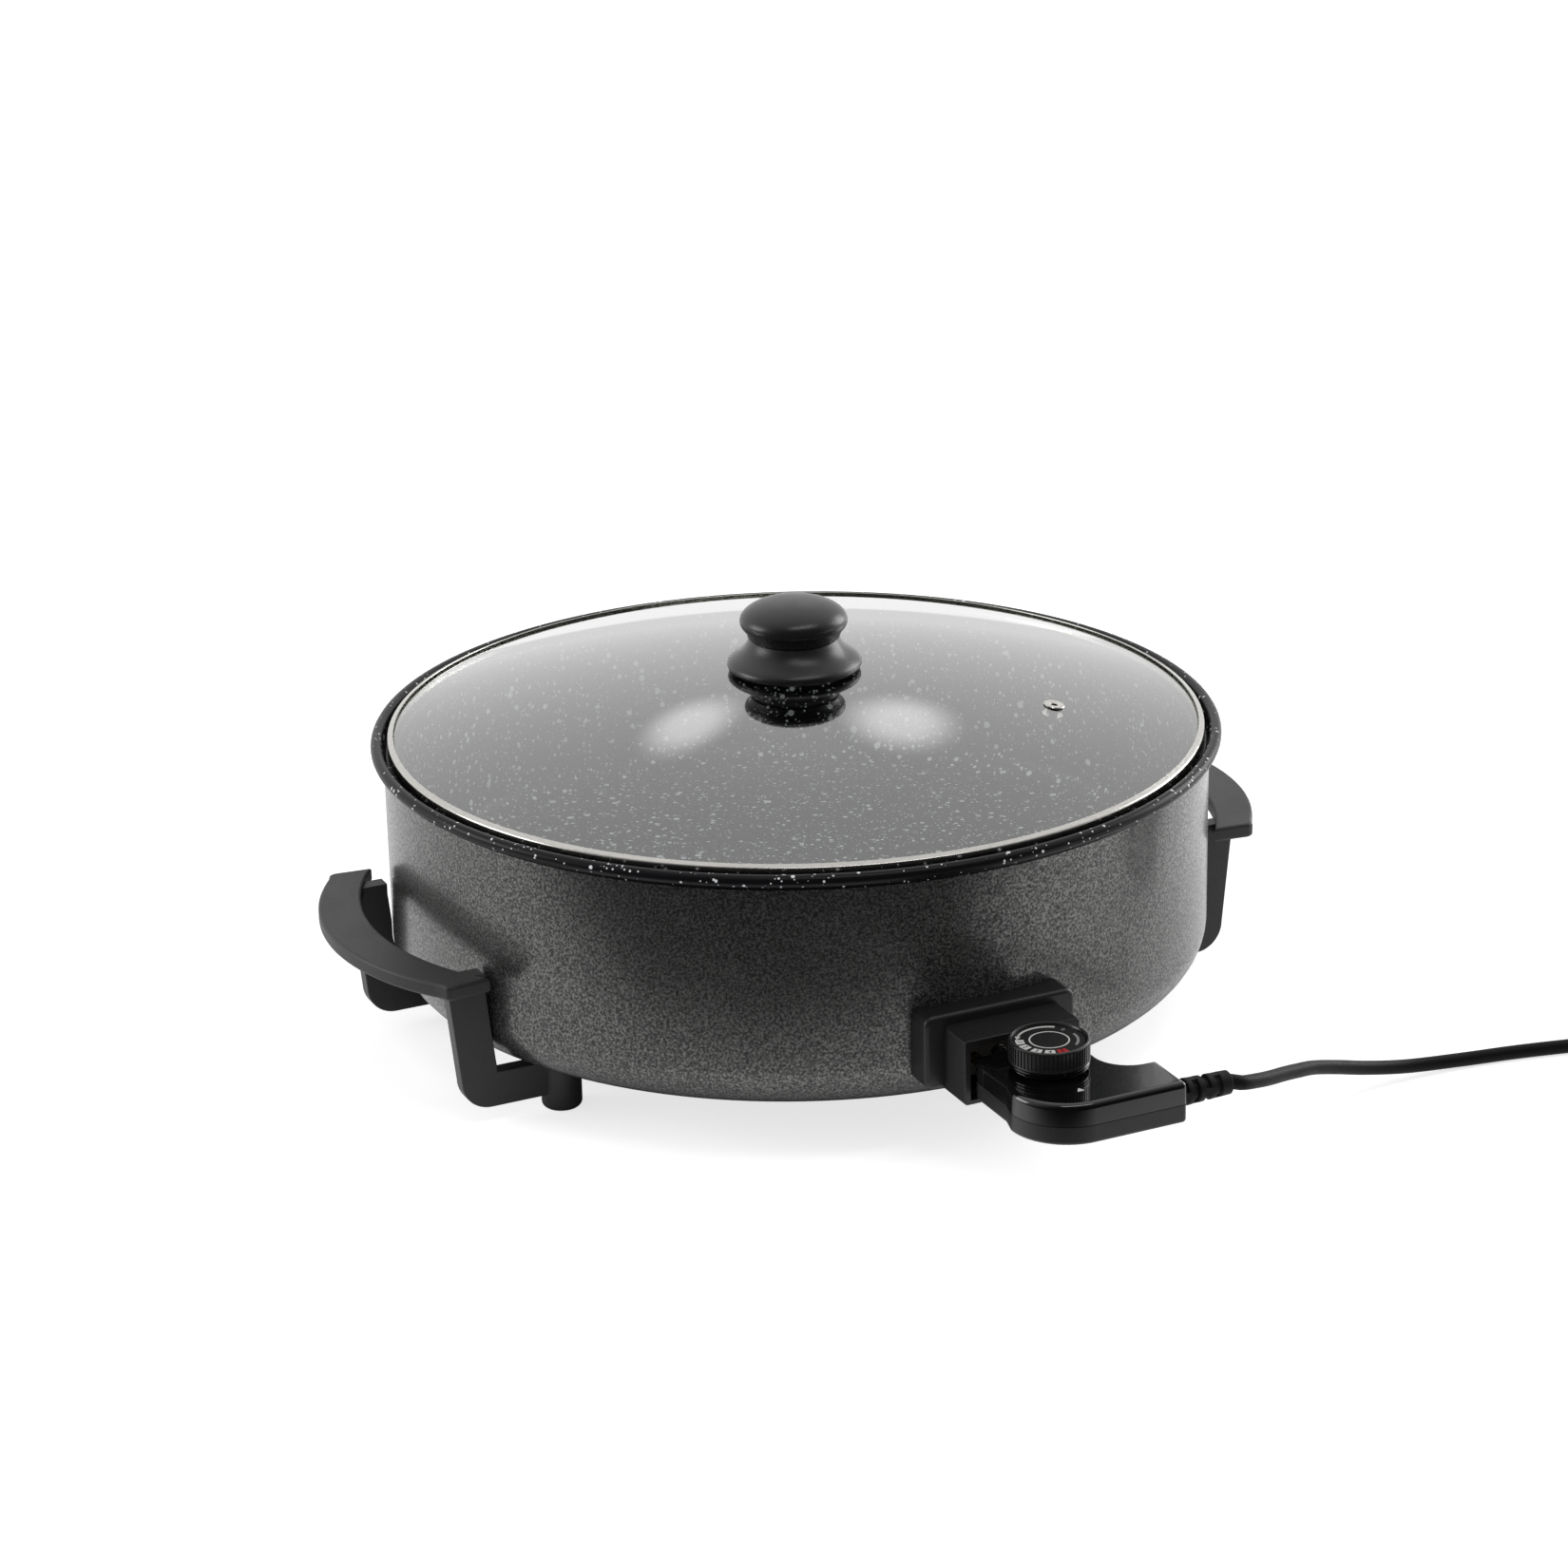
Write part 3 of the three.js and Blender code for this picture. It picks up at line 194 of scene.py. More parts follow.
def boxPiece(name, low, high):
    centre = [(a + b) / 2 for a, b in zip(low, high)]
    bpy.ops.object.select_all(action="DESELECT")
    bpy.ops.mesh.primitive_cube_add(size=1, location=centre)
    piece = bpy.context.object
    piece.name = name
    piece.scale = [b - a for a, b in zip(low, high)]
    return settle(piece)


def rodPiece(name, radius, start, end, sides=48):
    # a plain round bar between two points, used for cutting
    start, end = Vector(start), Vector(end)
    bpy.ops.object.select_all(action="DESELECT")
    bpy.ops.mesh.primitive_cylinder_add(
        vertices=sides, radius=radius, depth=(end - start).length, location=(start + end) / 2
    )
    piece = bpy.context.object
    piece.name = name
    piece.rotation_euler = (end - start).to_track_quat("Z", "Y").to_euler()
    return settle(piece)


def copyOf(piece, name):
    twin = piece.copy()
    twin.data = piece.data.copy()
    twin.name = name
    twin.data.name = name
    bpy.context.collection.objects.link(twin)
    return twin


def shapeWith(piece, matrix):
    piece.data.transform(matrix)
    piece.data.update()
    return piece


def smooth(piece, degrees=35):
    # rounds shade softly and the flat faces beside them stay flat
    use(piece)
    bpy.ops.object.shade_smooth_by_angle(angle=math.radians(degrees))
    return finishWith(piece, "WEIGHTED_NORMAL", keep_sharp=True, weight=50)


def arcPoints(x, y, radius, start, end, count):
    angles = [math.radians(start + (end - start) * i / count) for i in range(count + 1)]
    return [(x + radius * math.cos(a), y + radius * math.sin(a)) for a in angles]


def roundedBox(left, right, low, high, corner, count):
    # the outline of an upright box with round corners, from its lower right one
    places = []
    for x, z, start in (
        (right - corner, low + corner, -90), (right - corner, high - corner, 0),
        (left + corner, high - corner, 90), (left + corner, low + corner, 180),
    ):
        places += arcPoints(x, z, corner, start, start + 90, count)
    return places


def dress(piece, material, body, slotName, *nodes):
    piece.data.materials.clear()
    piece.data.materials.append(material)
    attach(piece, body)
    if nodes:
        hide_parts(*nodes)
    return piece


# camera
view = {
    "place": (-0.84870, -1.80496 + panY, 0.85956),
    "turn": 25.0,  # degrees from the front, towards the left
    "tilt": 0.357313478,  # radians below level
    "roll": -0.0210091298,
    "lens": 98.18,
    "sensor": 36.0,
    "clip": (0.05, 60),
}


def addCamera():
    data = bpy.data.cameras.new("camera")
    data.lens = view["lens"]
    data.sensor_width = view["sensor"]
    data.clip_start, data.clip_end = view["clip"]
    camera = bpy.data.objects.new("camera", data)
    bpy.context.collection.objects.link(camera)
    e, roll = view["tilt"], view["roll"]
    up0 = Vector((0, math.sin(e), math.cos(e)))
    side0 = Vector((1, 0, 0))
    right = math.cos(roll) * side0 + math.sin(roll) * up0
    up = -math.sin(roll) * side0 + math.cos(roll) * up0
    back = Vector((0, -math.cos(e), math.sin(e)))
    turned = Matrix((right, up, back)).transposed()
    about = Matrix.Rotation(-math.radians(view["turn"]), 3, "Z")
    camera.matrix_world = Matrix.Translation(view["place"]) @ (about @ turned).to_4x4()
    bpy.context.scene.camera = camera


addCamera()


# mains lead: the route is the CAD's, in metres and in the frame
lead = {
    "diameter": 0.007,
    "start": (0.0766, -0.24275, 0.0526),
    "run": [
        (0.0825, -0.2436, 0.0512), (0.093, -0.239, 0.048), (0.1047, -0.2318, 0.044),
        (0.1183, -0.2226, 0.0395), (0.132, -0.2136, 0.0348), (0.1463, -0.2042, 0.0295),
        (0.166, -0.194, 0.0215), (0.188, -0.186, 0.0133), (0.213, -0.1815, 0.007),
        (0.243, -0.182, 0.0042), (0.275, -0.1865, 0.0037), (0.308, -0.194, 0.0037),
        (0.34, -0.202, 0.0039), (0.368, -0.208, 0.0043),
    ],
    "coilCentre": (0.392, -0.168),
    "coilRadius": 0.042,
    "pitch": 0.0086,
    "startAngle": -75,
    "innerTurns": 1.5,  # inwards on the table, then over the crossing, then outwards on top
    "crossingTurns": 0.5,
    "outerTurns": 2.0,
    "stepsPerTurn": 24,
    "lowest": 0.0048,
    "tail": [
        (0.42, -0.2095, 0.0136), (0.437, -0.2015, 0.0164),
        (0.4495, -0.189, 0.0186), (0.456, -0.174, 0.0199),
    ],
    "plug": (0.4575, -0.1653, 0.0195),
    "straight": 0.001,  # it leaves the probe and enters the plug straight for this far
    "spacing": 0.003,
    "roundness": 5,
}


def coilPath():
    crossing, pitch = lead["crossingTurns"], lead["pitch"]
    total = lead["innerTurns"] + crossing + lead["outerTurns"]
    x, y = lead["coilCentre"]
    points = []
    for i in range(round(total * lead["stepsPerTurn"]) + 1):
        turn = i / lead["stepsPerTurn"]
        past = turn - lead["innerTurns"]
        climb = min(max(past / crossing, 0), 1)
        inwards, outwards = min(turn, lead["innerTurns"]), max(past - crossing, 0)
        r = lead["coilRadius"] - pitch * inwards + pitch * outwards
        a = math.radians(lead["startAngle"]) + turn * 2 * math.pi
        lift = pitch * (1 - math.cos(math.pi * climb)) / 2
        points.append(Vector((x + r * math.cos(a), y + r * math.sin(a), lead["lowest"] + lift)))
    return points


def smoothThrough(points, spacing):
    # a centripetal curve through the points, so that the lead keeps the CAD's own line
    points = [Vector(p) for p in points]
    ends = [2 * points[0] - points[1], *points, 2 * points[-1] - points[-2]]
    path = []
    for i in range(1, len(ends) - 2):
        a, b, c, d = ends[i - 1 : i + 3]
        t0, t1 = 0.0, (b - a).length ** 0.5
        t2 = t1 + (c - b).length ** 0.5
        t3 = t2 + (d - c).length ** 0.5
        count = max(2, round((c - b).length / spacing))
        for k in range(count):
            t = t1 + (t2 - t1) * k / count
            a1 = a.lerp(b, (t - t0) / (t1 - t0))
            a2 = b.lerp(c, (t - t1) / (t2 - t1))
            a3 = c.lerp(d, (t - t2) / (t3 - t2))
            b1 = a1.lerp(a2, (t - t0) / (t2 - t0))
            b2 = a2.lerp(a3, (t - t1) / (t3 - t1))
            path.append(b1.lerp(b2, (t - t1) / (t2 - t1)))
    return path + [points[-1]]


def leadPath():
    coil = coilPath()
    into = (coil[0] - coil[1]).normalized() * lead["diameter"]
    out = (coil[-1] - coil[-2]).normalized() * lead["diameter"]
    start, end = Vector(lead["start"]), Vector(lead["plug"])
    straight = lead["straight"]
    points = [
        start, start + Vector((straight, 0, 0)), *lead["run"], coil[0] + into, *coil,
        coil[-1] + out, *lead["tail"], end - Vector((0, straight, 0)), end,
    ]
    return smoothThrough(points, lead["spacing"])


def addLead():
    path = leadPath()
    data = bpy.data.curves.new("mains_lead", "CURVE")
    data.dimensions = "3D"
    data.bevel_depth = lead["diameter"] / 2
    data.bevel_resolution = lead["roundness"]
    data.use_fill_caps = True
    line = data.splines.new("POLY")
    line.points.add(len(path) - 1)
    for point, place in zip(line.points, path):
        point.co = (*place, 1)
    line.use_smooth = True
    piece = bpy.data.objects.new("mains_lead", data)
    bpy.context.collection.objects.link(piece)
    length = sum((b - a).length for a, b in zip(path, path[1:]))
    print("lead length:", round(length, 3), "m")
    return piece, length


leadPiece, leadLength = addLead()


# finishes
class Nodes:
    # a new material with a Principled shader, and short calls that add and join its nodes
    def __init__(self, name):
        self.material = bpy.data.materials.new(name)
        self.material.use_nodes = True
        self.tree = self.material.node_tree
        self.shader = self.tree.nodes["Principled BSDF"]
        self.output = self.tree.nodes["Material Output"]
        self.places = self.tree.nodes.new("ShaderNodeTexCoord").outputs["Object"]

    def set(self, **sockets):
        for key, value in sockets.items():
            self.shader.inputs[key.replace("_", " ")].default_value = value

    def add(self, kind, **values):
        node = self.tree.nodes.new("ShaderNode" + kind)
        for key, value in values.items():
            if key in node.inputs.keys():
                node.inputs[key].default_value = value
            else:
                setattr(node, key, value)
        return node

    def join(self, start, end):
        self.tree.links.new(start, end)

    def scaled(self, stretch):
        node = self.add("Mapping")
        node.inputs["Scale"].default_value = stretch
        self.join(self.places, node.inputs["Vector"])
        return node.outputs["Vector"]

    def noise(self, scale, detail, rough, places=None):
        node = self.add("TexNoise", Scale=scale, Detail=detail, Roughness=rough)
        self.join(places or self.places, node.inputs["Vector"])
        return node.outputs["Fac"]

    def ramp(self, source, stops):
        node = self.add("ValToRGB")
        while len(node.color_ramp.elements) < len(stops):
            node.color_ramp.elements.new(0.5)
        for element, (place, colour) in zip(node.color_ramp.elements, stops):
            element.position = place
            element.color = (*colour, 1) if len(colour) == 3 else colour
        self.join(source, node.inputs["Fac"])
        return node.outputs["Color"]

    def grey(self, source, stops):
        return self.ramp(source, [(place, (value,) * 3) for place, value in stops])

    def sum(self, kind, a, b):
        node = self.add("Math", operation=kind)
        for socket, value in zip(node.inputs, (a, b)):
            if isinstance(value, (int, float)):
                socket.default_value = value
            else:
                self.join(value, socket)
        return node.outputs[0]

    def blend(self, factor, a, b):
        node = self.add("Mix", data_type="RGBA")
        for socket, value in zip((node.inputs[0], node.inputs[6], node.inputs[7]), (factor, a, b)):
            if isinstance(value, (int, float)):
                socket.default_value = value
            elif isinstance(value, tuple):
                socket.default_value = (*value, 1)
            else:
                self.join(value, socket)
        return node.outputs[2]

    def weigh(self, a, share, b):
        # a counts for its share and b for the rest
        return self.sum("ADD", self.sum("MULTIPLY", a, share), self.sum("MULTIPLY", b, 1 - share))

    def bump(self, height, distance, strength):
        node = self.add("Bump", Distance=distance, Strength=strength)
        self.join(height, node.inputs["Height"])
        self.join(node.outputs["Normal"], self.shader.inputs["Normal"])

    def to(self, source, socket):
        self.join(source, self.shader.inputs[socket])


paint = {
    # noise scales of the pools, of the flakes in them and of the slow change over the wall
    "pools": 850,
    "flakes": 3000,
    "clouds": 9,
    "poolShare": 0.75,
    "grainShare": 0.9,
    "tint": (0.97, 1.0, 0.955),
    "tones": [(0.38, 0.032), (0.5, 0.092), (0.62, 0.207)],
    "roughness": [(0.38, 0.34), (0.62, 0.22)],
    "grain": (0.00004, 0.6),  # depth in metres, and strength
}


def hammerPaint():
    # dark stoved paint that has drawn together into small round pools
    n = Nodes("hammerPaint")
    pools = n.noise(paint["pools"], 1.0, 0.5)
    mixed = n.weigh(pools, paint["poolShare"], n.noise(paint["flakes"], 2.0, 0.7))
    tone = n.weigh(mixed, paint["grainShare"], n.noise(paint["clouds"], 2.0, 0.5))
    tones = [(place, tuple(level * c for c in paint["tint"])) for place, level in paint["tones"]]
    n.to(n.ramp(tone, tones), "Base Color")
    n.to(n.grey(mixed, paint["roughness"]), "Roughness")
    n.bump(mixed, *paint["grain"])
    n.set(Metallic=0.7, Coat_Weight=0.2, Coat_Roughness=0.12)
    return n.material


granite = {
    # cell, drop radius, share of cells with a drop, brightness, seed
    "drops": [
        (2.2, 0.62, 0.8, 0.9, 0.11),
        (3.4, 1.0, 0.75, 1.0, 0.37),
        (5.2, 1.4, 0.75, 1.0, 0.73),
        (9.0, 2.0, 0.6, 1.0, 0.91),
    ],
    "dropSpread": (0.25, 0.8),  # the smallest drop and what the largest adds, in drop radii
    "dropEdge": 0.12,
    "rimFrom": 136,  # height above which only drops up to rimDrop in radius fall, and fewer of them
    "rimDrop": 1.0,
    "rimShare": 0.45,
    "ground": (0.006, 0.006, 0.0075),
    "fleck": (0.88, 0.9, 0.92),
    "roughness": 0.33,
    "grain": (0.00005, 0.4),
}


def graniteCoating():
    # black non-stick coating sprinkled with white and grey drops of several sizes
    n = Nodes("graniteCoating")
    total = None
    height = n.add("SeparateXYZ")
    n.join(n.places, height.inputs[0])
    inside = n.sum("LESS_THAN", height.outputs["Z"], granite["rimFrom"] * mm)
    fill = n.sum("ADD", n.sum("MULTIPLY", inside, 1 - granite["rimShare"]), granite["rimShare"])
    least, more = granite["dropSpread"]
    for cell, size, share, level, seed in granite["drops"]:
        moved = n.add("Mapping")
        moved.inputs["Location"].default_value = (seed, seed * 0.7, seed * 1.3)
        n.join(n.places, moved.inputs["Vector"])
        drops = n.add("TexVoronoi", Scale=1 / (cell * mm), Randomness=1.0)
        n.join(moved.outputs["Vector"], drops.inputs["Vector"])
        parts = n.add("SeparateColor")
        n.join(drops.outputs["Color"], parts.inputs["Color"])
        reach = n.sum("ADD", n.sum("MULTIPLY", parts.outputs[1], more), least)
        within = n.sum("SUBTRACT", n.sum("MULTIPLY", reach, size / cell), drops.outputs["Distance"])
        near = n.sum("DIVIDE", within, granite["dropEdge"] * size / cell)
        near.node.use_clamp = True
        kept = n.sum("LESS_THAN", parts.outputs[0], n.sum("MULTIPLY", fill, share))
        if size > granite["rimDrop"]:
            kept = n.sum("MULTIPLY", kept, inside)
        drop = n.sum("MULTIPLY", n.sum("MULTIPLY", near, kept), level)
        total = drop if total is None else n.sum("MAXIMUM", total, drop)
    n.to(n.blend(total, granite["ground"], granite["fleck"]), "Base Color")
    n.bump(n.noise(900, 2.0, 0.6), *granite["grain"])
    n.set(Roughness=granite["roughness"], Specular_IOR_Level=0.16)
    return n.material


glass = {
    "tone": (0.93, 0.945, 0.94, 1),
    "blur": 0.05,
    "slant": 2.0,  # index of the curve by which it mirrors more at a slant
    "gain": 1.8,  # both faces of the pane mirror
    "offset": -0.06,
    "most": 0.66,
}


def clearGlass():
    # thin clear glass that mixes what lies behind it with what it mirrors
    n = Nodes("clearGlass")
    n.set(Base_Color=(0.97, 0.985, 0.98, 1), Roughness=0.02, IOR=1.5, Transmission_Weight=1.0)
    through = n.add("BsdfTransparent", Color=glass["tone"])
    mirror = n.add("BsdfAnisotropic", Color=(1, 1, 1, 1), Roughness=glass["blur"])
    slant = n.add("Fresnel", IOR=glass["slant"])
    fromOutside = n.sum("SUBTRACT", 1.0, n.add("NewGeometry").outputs["Backfacing"])
    share = n.sum("ADD", n.sum("MULTIPLY", slant.outputs[0], glass["gain"]), glass["offset"])
    share = n.sum("MINIMUM", share, glass["most"])
    share.node.use_clamp = True
    both = n.add("MixShader")
    n.join(n.sum("MULTIPLY", share, fromOutside), both.inputs[0])
    n.join(through.outputs[0], both.inputs[1])
    n.join(mirror.outputs[0], both.inputs[2])
    n.join(both.outputs[0], n.output.inputs["Surface"])
    return n.material


steel = {
    "streaks": 300,
    "stretch": (1, 1, 12),
    "tones": [(0.3, (0.5, 0.485, 0.455)), (0.7, (0.62, 0.605, 0.575))],
    "roughness": [(0.3, 0.16), (0.7, 0.28)],
}


def polishedSteel():
    n = Nodes("polishedSteel")
    streaks = n.noise(steel["streaks"], 3.0, 0.6, n.scaled(steel["stretch"]))
    n.to(n.grey(streaks, steel["roughness"]), "Roughness")
    n.to(n.ramp(streaks, steel["tones"]), "Base Color")
    n.set(Metallic=1.0)
    return n.material


moulding = {
    "grains": 1400,
    "patches": 28,
    "grainShare": 0.6,
    "dark": 0.75,  # shares of the level
    "light": (1.3, 1.3 * 0.98, 1.3 * 0.96),
    "sway": 0.06,  # how far the roughness goes up and down
    "strength": 0.6,
}


def matteMoulding(name, level, roughness, grain):
    # black heat-proof plastic with a fine eroded grain, whose depth is in metres
    n = Nodes(name)
    fine = n.noise(moulding["grains"], 3.0, 0.65)
    tone = n.weigh(fine, moulding["grainShare"], n.noise(moulding["patches"], 3.0, 0.5))
    light = tuple(level * c for c in moulding["light"])
    tones = [(0.35, (level * moulding["dark"],) * 3), (0.65, light)]
    sway = moulding["sway"]
    n.to(n.ramp(tone, tones), "Base Color")
    n.to(n.grey(tone, [(0.35, roughness + sway), (0.65, roughness - sway)]), "Roughness")
    n.bump(fine, grain, moulding["strength"])
    return n.material


gloss = {
    "smears": 60,
    "tones": [(0.35, (0.003, 0.003, 0.0035)), (0.7, (0.006, 0.006, 0.007))],
    "roughness": [(0.4, 0.07), (0.7, 0.13)],
}


def glossMoulding():
    n = Nodes("glossMoulding")
    smear = n.noise(gloss["smears"], 4.0, 0.6)
    n.to(n.ramp(smear, gloss["tones"]), "Base Color")
    n.to(n.grey(smear, gloss["roughness"]), "Roughness")
    n.set(Coat_Weight=0.4, Coat_Roughness=0.05)
    return n.material


def speckled(name, colour, roughest, smoothest, scale, grain, strength):
    # a colour that darkens a little in fine specks, which are rougher too
    n = Nodes(name)
    tone = n.noise(scale, 4.0, 0.6)
    dark = tuple(c * 0.8 for c in colour)
    n.to(n.ramp(tone, [(0.3, dark), (0.7, colour)]), "Base Color")
    n.to(n.grey(tone, [(0.3, roughest), (0.7, smoothest)]), "Roughness")
    n.bump(tone, grain, strength)
    return n


def plainMetal(name, colour, roughness):
    n = speckled(name, colour, roughness + 0.1, roughness - 0.05, 420, 0.00003, 0.4)
    n.set(Metallic=1.0)
    return n.material


def mattSurface(name, colour, roughness, scale=900, grain=0.00005, shine=0.5):
    n = speckled(name, colour, roughness + 0.08, roughness - 0.08, scale, grain, 0.5)
    n.set(Specular_IOR_Level=shine)
    return n.material


# matteMoulding takes a level of brightness, a roughness and the depth of its grain
finish = {
    "hammered_paint": hammerPaint(),
    "granite_coating": graniteCoating(),
    "clear_glass": clearGlass(),
    "polished_steel": polishedSteel(),
    "matte_black": matteMoulding("matteMoulding", 0.022, 0.5, 0.00006),
    "knobSatin": matteMoulding("knobMoulding", 0.012, 0.31, 0.00008),
    "socketSatin": matteMoulding("socketMoulding", 0.011, 0.42, 0.00005),
    "dialSatin": matteMoulding("dialMoulding", 0.018, 0.24, 0.00002),
    "gloss_black": glossMoulding(),
    "satin_black": matteMoulding("satinMoulding", 0.014, 0.3, 0.00003),
    # steatite and brass are much darker than the bare materials: painted shade of the socket's
    # mouth and the probe's holes, where they sit
    "ceramic": mattSurface("steatite", (0.24, 0.225, 0.2), 0.7),
    "brass": plainMetal("brass", (0.42, 0.3, 0.14), 0.35),
    "element_sheath": plainMetal("oxidisedSheath", (0.2, 0.17, 0.15), 0.45),
    "zinc_steel": plainMetal("zincPlate", (0.62, 0.63, 0.64), 0.3),
    "black_rubber": mattSurface("blackRubber", (0.01, 0.01, 0.011), 0.55, shine=0.2),
    "cord_jacket": mattSurface("cordJacket", (0.008, 0.008, 0.009), 0.5, 700, 0.00003, 0.1),
    "printWhite": mattSurface("printWhite", (0.78, 0.78, 0.76), 0.5),
    "printGrey": mattSurface("printGrey", (0.32, 0.32, 0.32), 0.5),
    "printRed": mattSurface("printRed", (0.55, 0.015, 0.02), 0.4),
}
# the CAD's own pieces that stay take the finish of their slot
for row in frame["record"]["subparts"]:
    node = frame["nodes"][row["node"]]
    node.data.materials.clear()
    node.data.materials.append(finish[row["material_slot"]])
print("finishes made:", len(finish))


# outer wall
wall = {
    "radius": 204.0,
    "underside": 27.0,
    "top": 139.7,
    "thickness": 1.2,
    "corner": 22.5,
    "steps": 144,
    "window": (25.6, 43.4, 61.6),  # half width, bottom and top of the hole behind the socket
    "gap": 0.3,  # what is fixed to the wall stands this far off it
}


def wallProfile(inset):
    r = wall["corner"]
    centre = wall["radius"] - r
    rise = wall["underside"] + r
    return [
        (0, wall["underside"] + inset),
        (centre * 0.5, wall["underside"] + inset),
        *arcPoints(centre, rise, r - inset, -90, 0, 10),
        (wall["radius"] - inset, (rise + wall["top"]) / 2),
        (wall["radius"] - inset, wall["top"]),
    ]


def makeWall():
    profile = wallProfile(0) + wallProfile(wall["thickness"])[::-1]
    piece = turnPiece("outer_wall", profile, wall["steps"])
    half, low, high = wall["window"]
    front = panY - (wall["radius"] + spare) * mm
    cut(piece, boxPiece("windowTool", (-half * mm, front, low * mm), (half * mm, panY, high * mm)))
    smooth(piece)
    dress(piece, finish["hammered_paint"], "skillet", "hammered_paint", "outer_shell")


def wallRoom():
    # the room that the wall takes up, to be cut out of what is fixed to it
    return turnPiece("clearTool", wallProfile(-wall["gap"]) + [(0, wall["top"])], wall["steps"])


# cooking bowl
bowl = {
    "outer": 198.0,
    "inner": 196.0,
    "underside": 57.0,
    "floor": 60.0,
    "corner": 14.0,
    "middle": 100.0,  # a ring of points halfway across the floor
    "ledge": 141.5,
    "ledgeUnder": 140.0,
    "ledgeRound": 2.0,
    "rimCentre": (207.0, 145.5),
    "rimRadius": 3.0,
    "roll": (225, 540),  # the stretch of the rolled rim, in degrees
    "lip": 203.0,
    "lipBevel": (0.5, 0.6),
    "steps": 160,
}


def makeBowl():
    inner, ledge, middle = bowl["inner"], bowl["ledge"], bowl["middle"]
    corner, turn = bowl["corner"], bowl["ledgeRound"]
    bend = corner + bowl["outer"] - inner
    x, z = bowl["rimCentre"]
    r = bowl["rimRadius"]
    across, up = bowl["lipBevel"]
    profile = [
        (0, bowl["underside"]),
        (middle, bowl["underside"]),
        *arcPoints(bowl["outer"] - bend, bowl["underside"] + bend, bend, -90, 0, 6),
        (bowl["outer"], bowl["ledgeUnder"]),
        (x - r, bowl["ledgeUnder"]),
        (x - r, z - r),
        *arcPoints(x, z, r, *bowl["roll"], 18),
        (bowl["lip"], ledge + up),
        (bowl["lip"] - across, ledge),
        *arcPoints(inner + turn, ledge - turn, turn, 90, 180, 5),
        *arcPoints(inner - corner, bowl["floor"] + corner, corner, 0, -90, 10),
        (middle, bowl["floor"]),
        (0, bowl["floor"]),
    ]
    piece = turnPiece("cooking_bowl", profile, bowl["steps"])
    smooth(piece, 40)
    dress(piece, finish["granite_coating"], "skillet", "granite_coating", "inner_pan")


# lid
cover = {
    "glassRadius": 200.6,
    "glassEdge": 144.8,
    "thickness": 4.0,
    "rise": 27.7,
    "hole": 4.0,
    "rings": 22,
    "steps": 160,
    "bandRadius": 201.7,
    "bandBottom": 141.8,
    "bandLip": 3.0,
    "bandSheet": 0.8,
    "bandSkirt": 1.9,
    "bandGap": 0.3,  # from the band to the glass
    "bandRound": 1.2,
    "bandFold": 0.6,
    "bandEdge": 0.3,
    "ventPlace": 130.0,
    "ventAngle": -39.7,
    "ventBore": 3.5,
    "ventReach": (-8, 6),
}
domeRadius = (cover["glassRadius"] ** 2 + cover["rise"] ** 2) / (2 * cover["rise"])
glassTop = cover["glassEdge"] + cover["thickness"] + cover["rise"]


def domeHeight(r, drop=0.0):
    return glassTop - drop - (domeRadius - math.sqrt(domeRadius**2 - r**2))


def atVent(piece):
    # stands a piece that was made round the frame's own Z axis on the glass, along its normal
    tilt = math.asin(cover["ventPlace"] / domeRadius)
    r = cover["ventPlace"]
    move = Matrix.Translation((r * mm, 0, domeHeight(r) * mm)) @ Matrix.Rotation(tilt, 4, "Y")
    turn = Matrix.Rotation(math.radians(cover["ventAngle"]), 4, "Z")
    return shapeWith(piece, Matrix.Translation((0, panY, 0)) @ turn @ move)


def makeGlass():
    reach, rings = cover["glassRadius"] - cover["hole"], cover["rings"]
    radii = [cover["hole"] + reach * i / rings for i in range(rings + 1)]
    under = [(r, domeHeight(r, cover["thickness"])) for r in radii]
    over = [(r, domeHeight(r)) for r in radii]
    profile = under + over[::-1] + under[:1]
    piece = turnPiece("lid_pane", profile, cover["steps"])
    r, (low, high) = cover["ventBore"], cover["ventReach"]
    cut(piece, atVent(turnPiece("ventTool", [(0, low), (r, low), (r, high), (0, high)], 40, 0, 0)))
    smooth(piece, 40)
    dress(piece, finish["clear_glass"], "lid", "clear_glass", "lid_glass")


def makeBand():
    t, bend = cover["bandSheet"], cover["bandRound"]
    edge, fold = cover["bandEdge"], cover["bandFold"]
    outer = cover["bandRadius"]
    inner = outer - t
    lip = outer - cover["bandLip"]
    hem = t / 2
    low = cover["bandBottom"]
    seat = low + cover["bandSkirt"]
    top = cover["glassEdge"] + cover["thickness"] + cover["bandGap"] + t
    lipTop = top + cover["bandLip"] * cover["glassRadius"] / domeRadius
    profile = [
        (inner, low), (outer - edge, low), (outer, low + edge), (outer, top - bend),
        *arcPoints(outer - bend, top - bend, bend, 0, 75, 6),
        (lip + hem, lipTop), *arcPoints(lip + hem, lipTop - hem, hem, 90, 270, 6),
        (inner - fold, top - t), (inner, top - t - fold), (inner, seat + t), (lip, seat + t),
        (lip, seat), (inner, seat), (inner, low),
    ]
    piece = turnPiece("lid_rim", profile, cover["steps"])
    smooth(piece, 40)
    dress(piece, finish["polished_steel"], "lid", "polished_steel", "lid_band")


# vent eyelet: its profile, in radius and height above the glass
eyelet = [
    (1.6, -5.0), (4.9, -5.0), (5.2, -4.8), (5.2, -4.3), (3.2, -4.3), (3.2, 0.3), (5.2, 0.3),
    (5.2, 0.6), (4.9, 0.95), (4.2, 1.0), (2.2, 0.85), (1.7, 0.5), (1.6, 0.1), (1.6, -5.0),
]


def makeEyelet():
    piece = turnPiece("vent_ring", eyelet, 48, 0, 0)
    smooth(atVent(piece), 40)
    dress(piece, finish["polished_steel"], "lid", "polished_steel", "vent_eyelet")


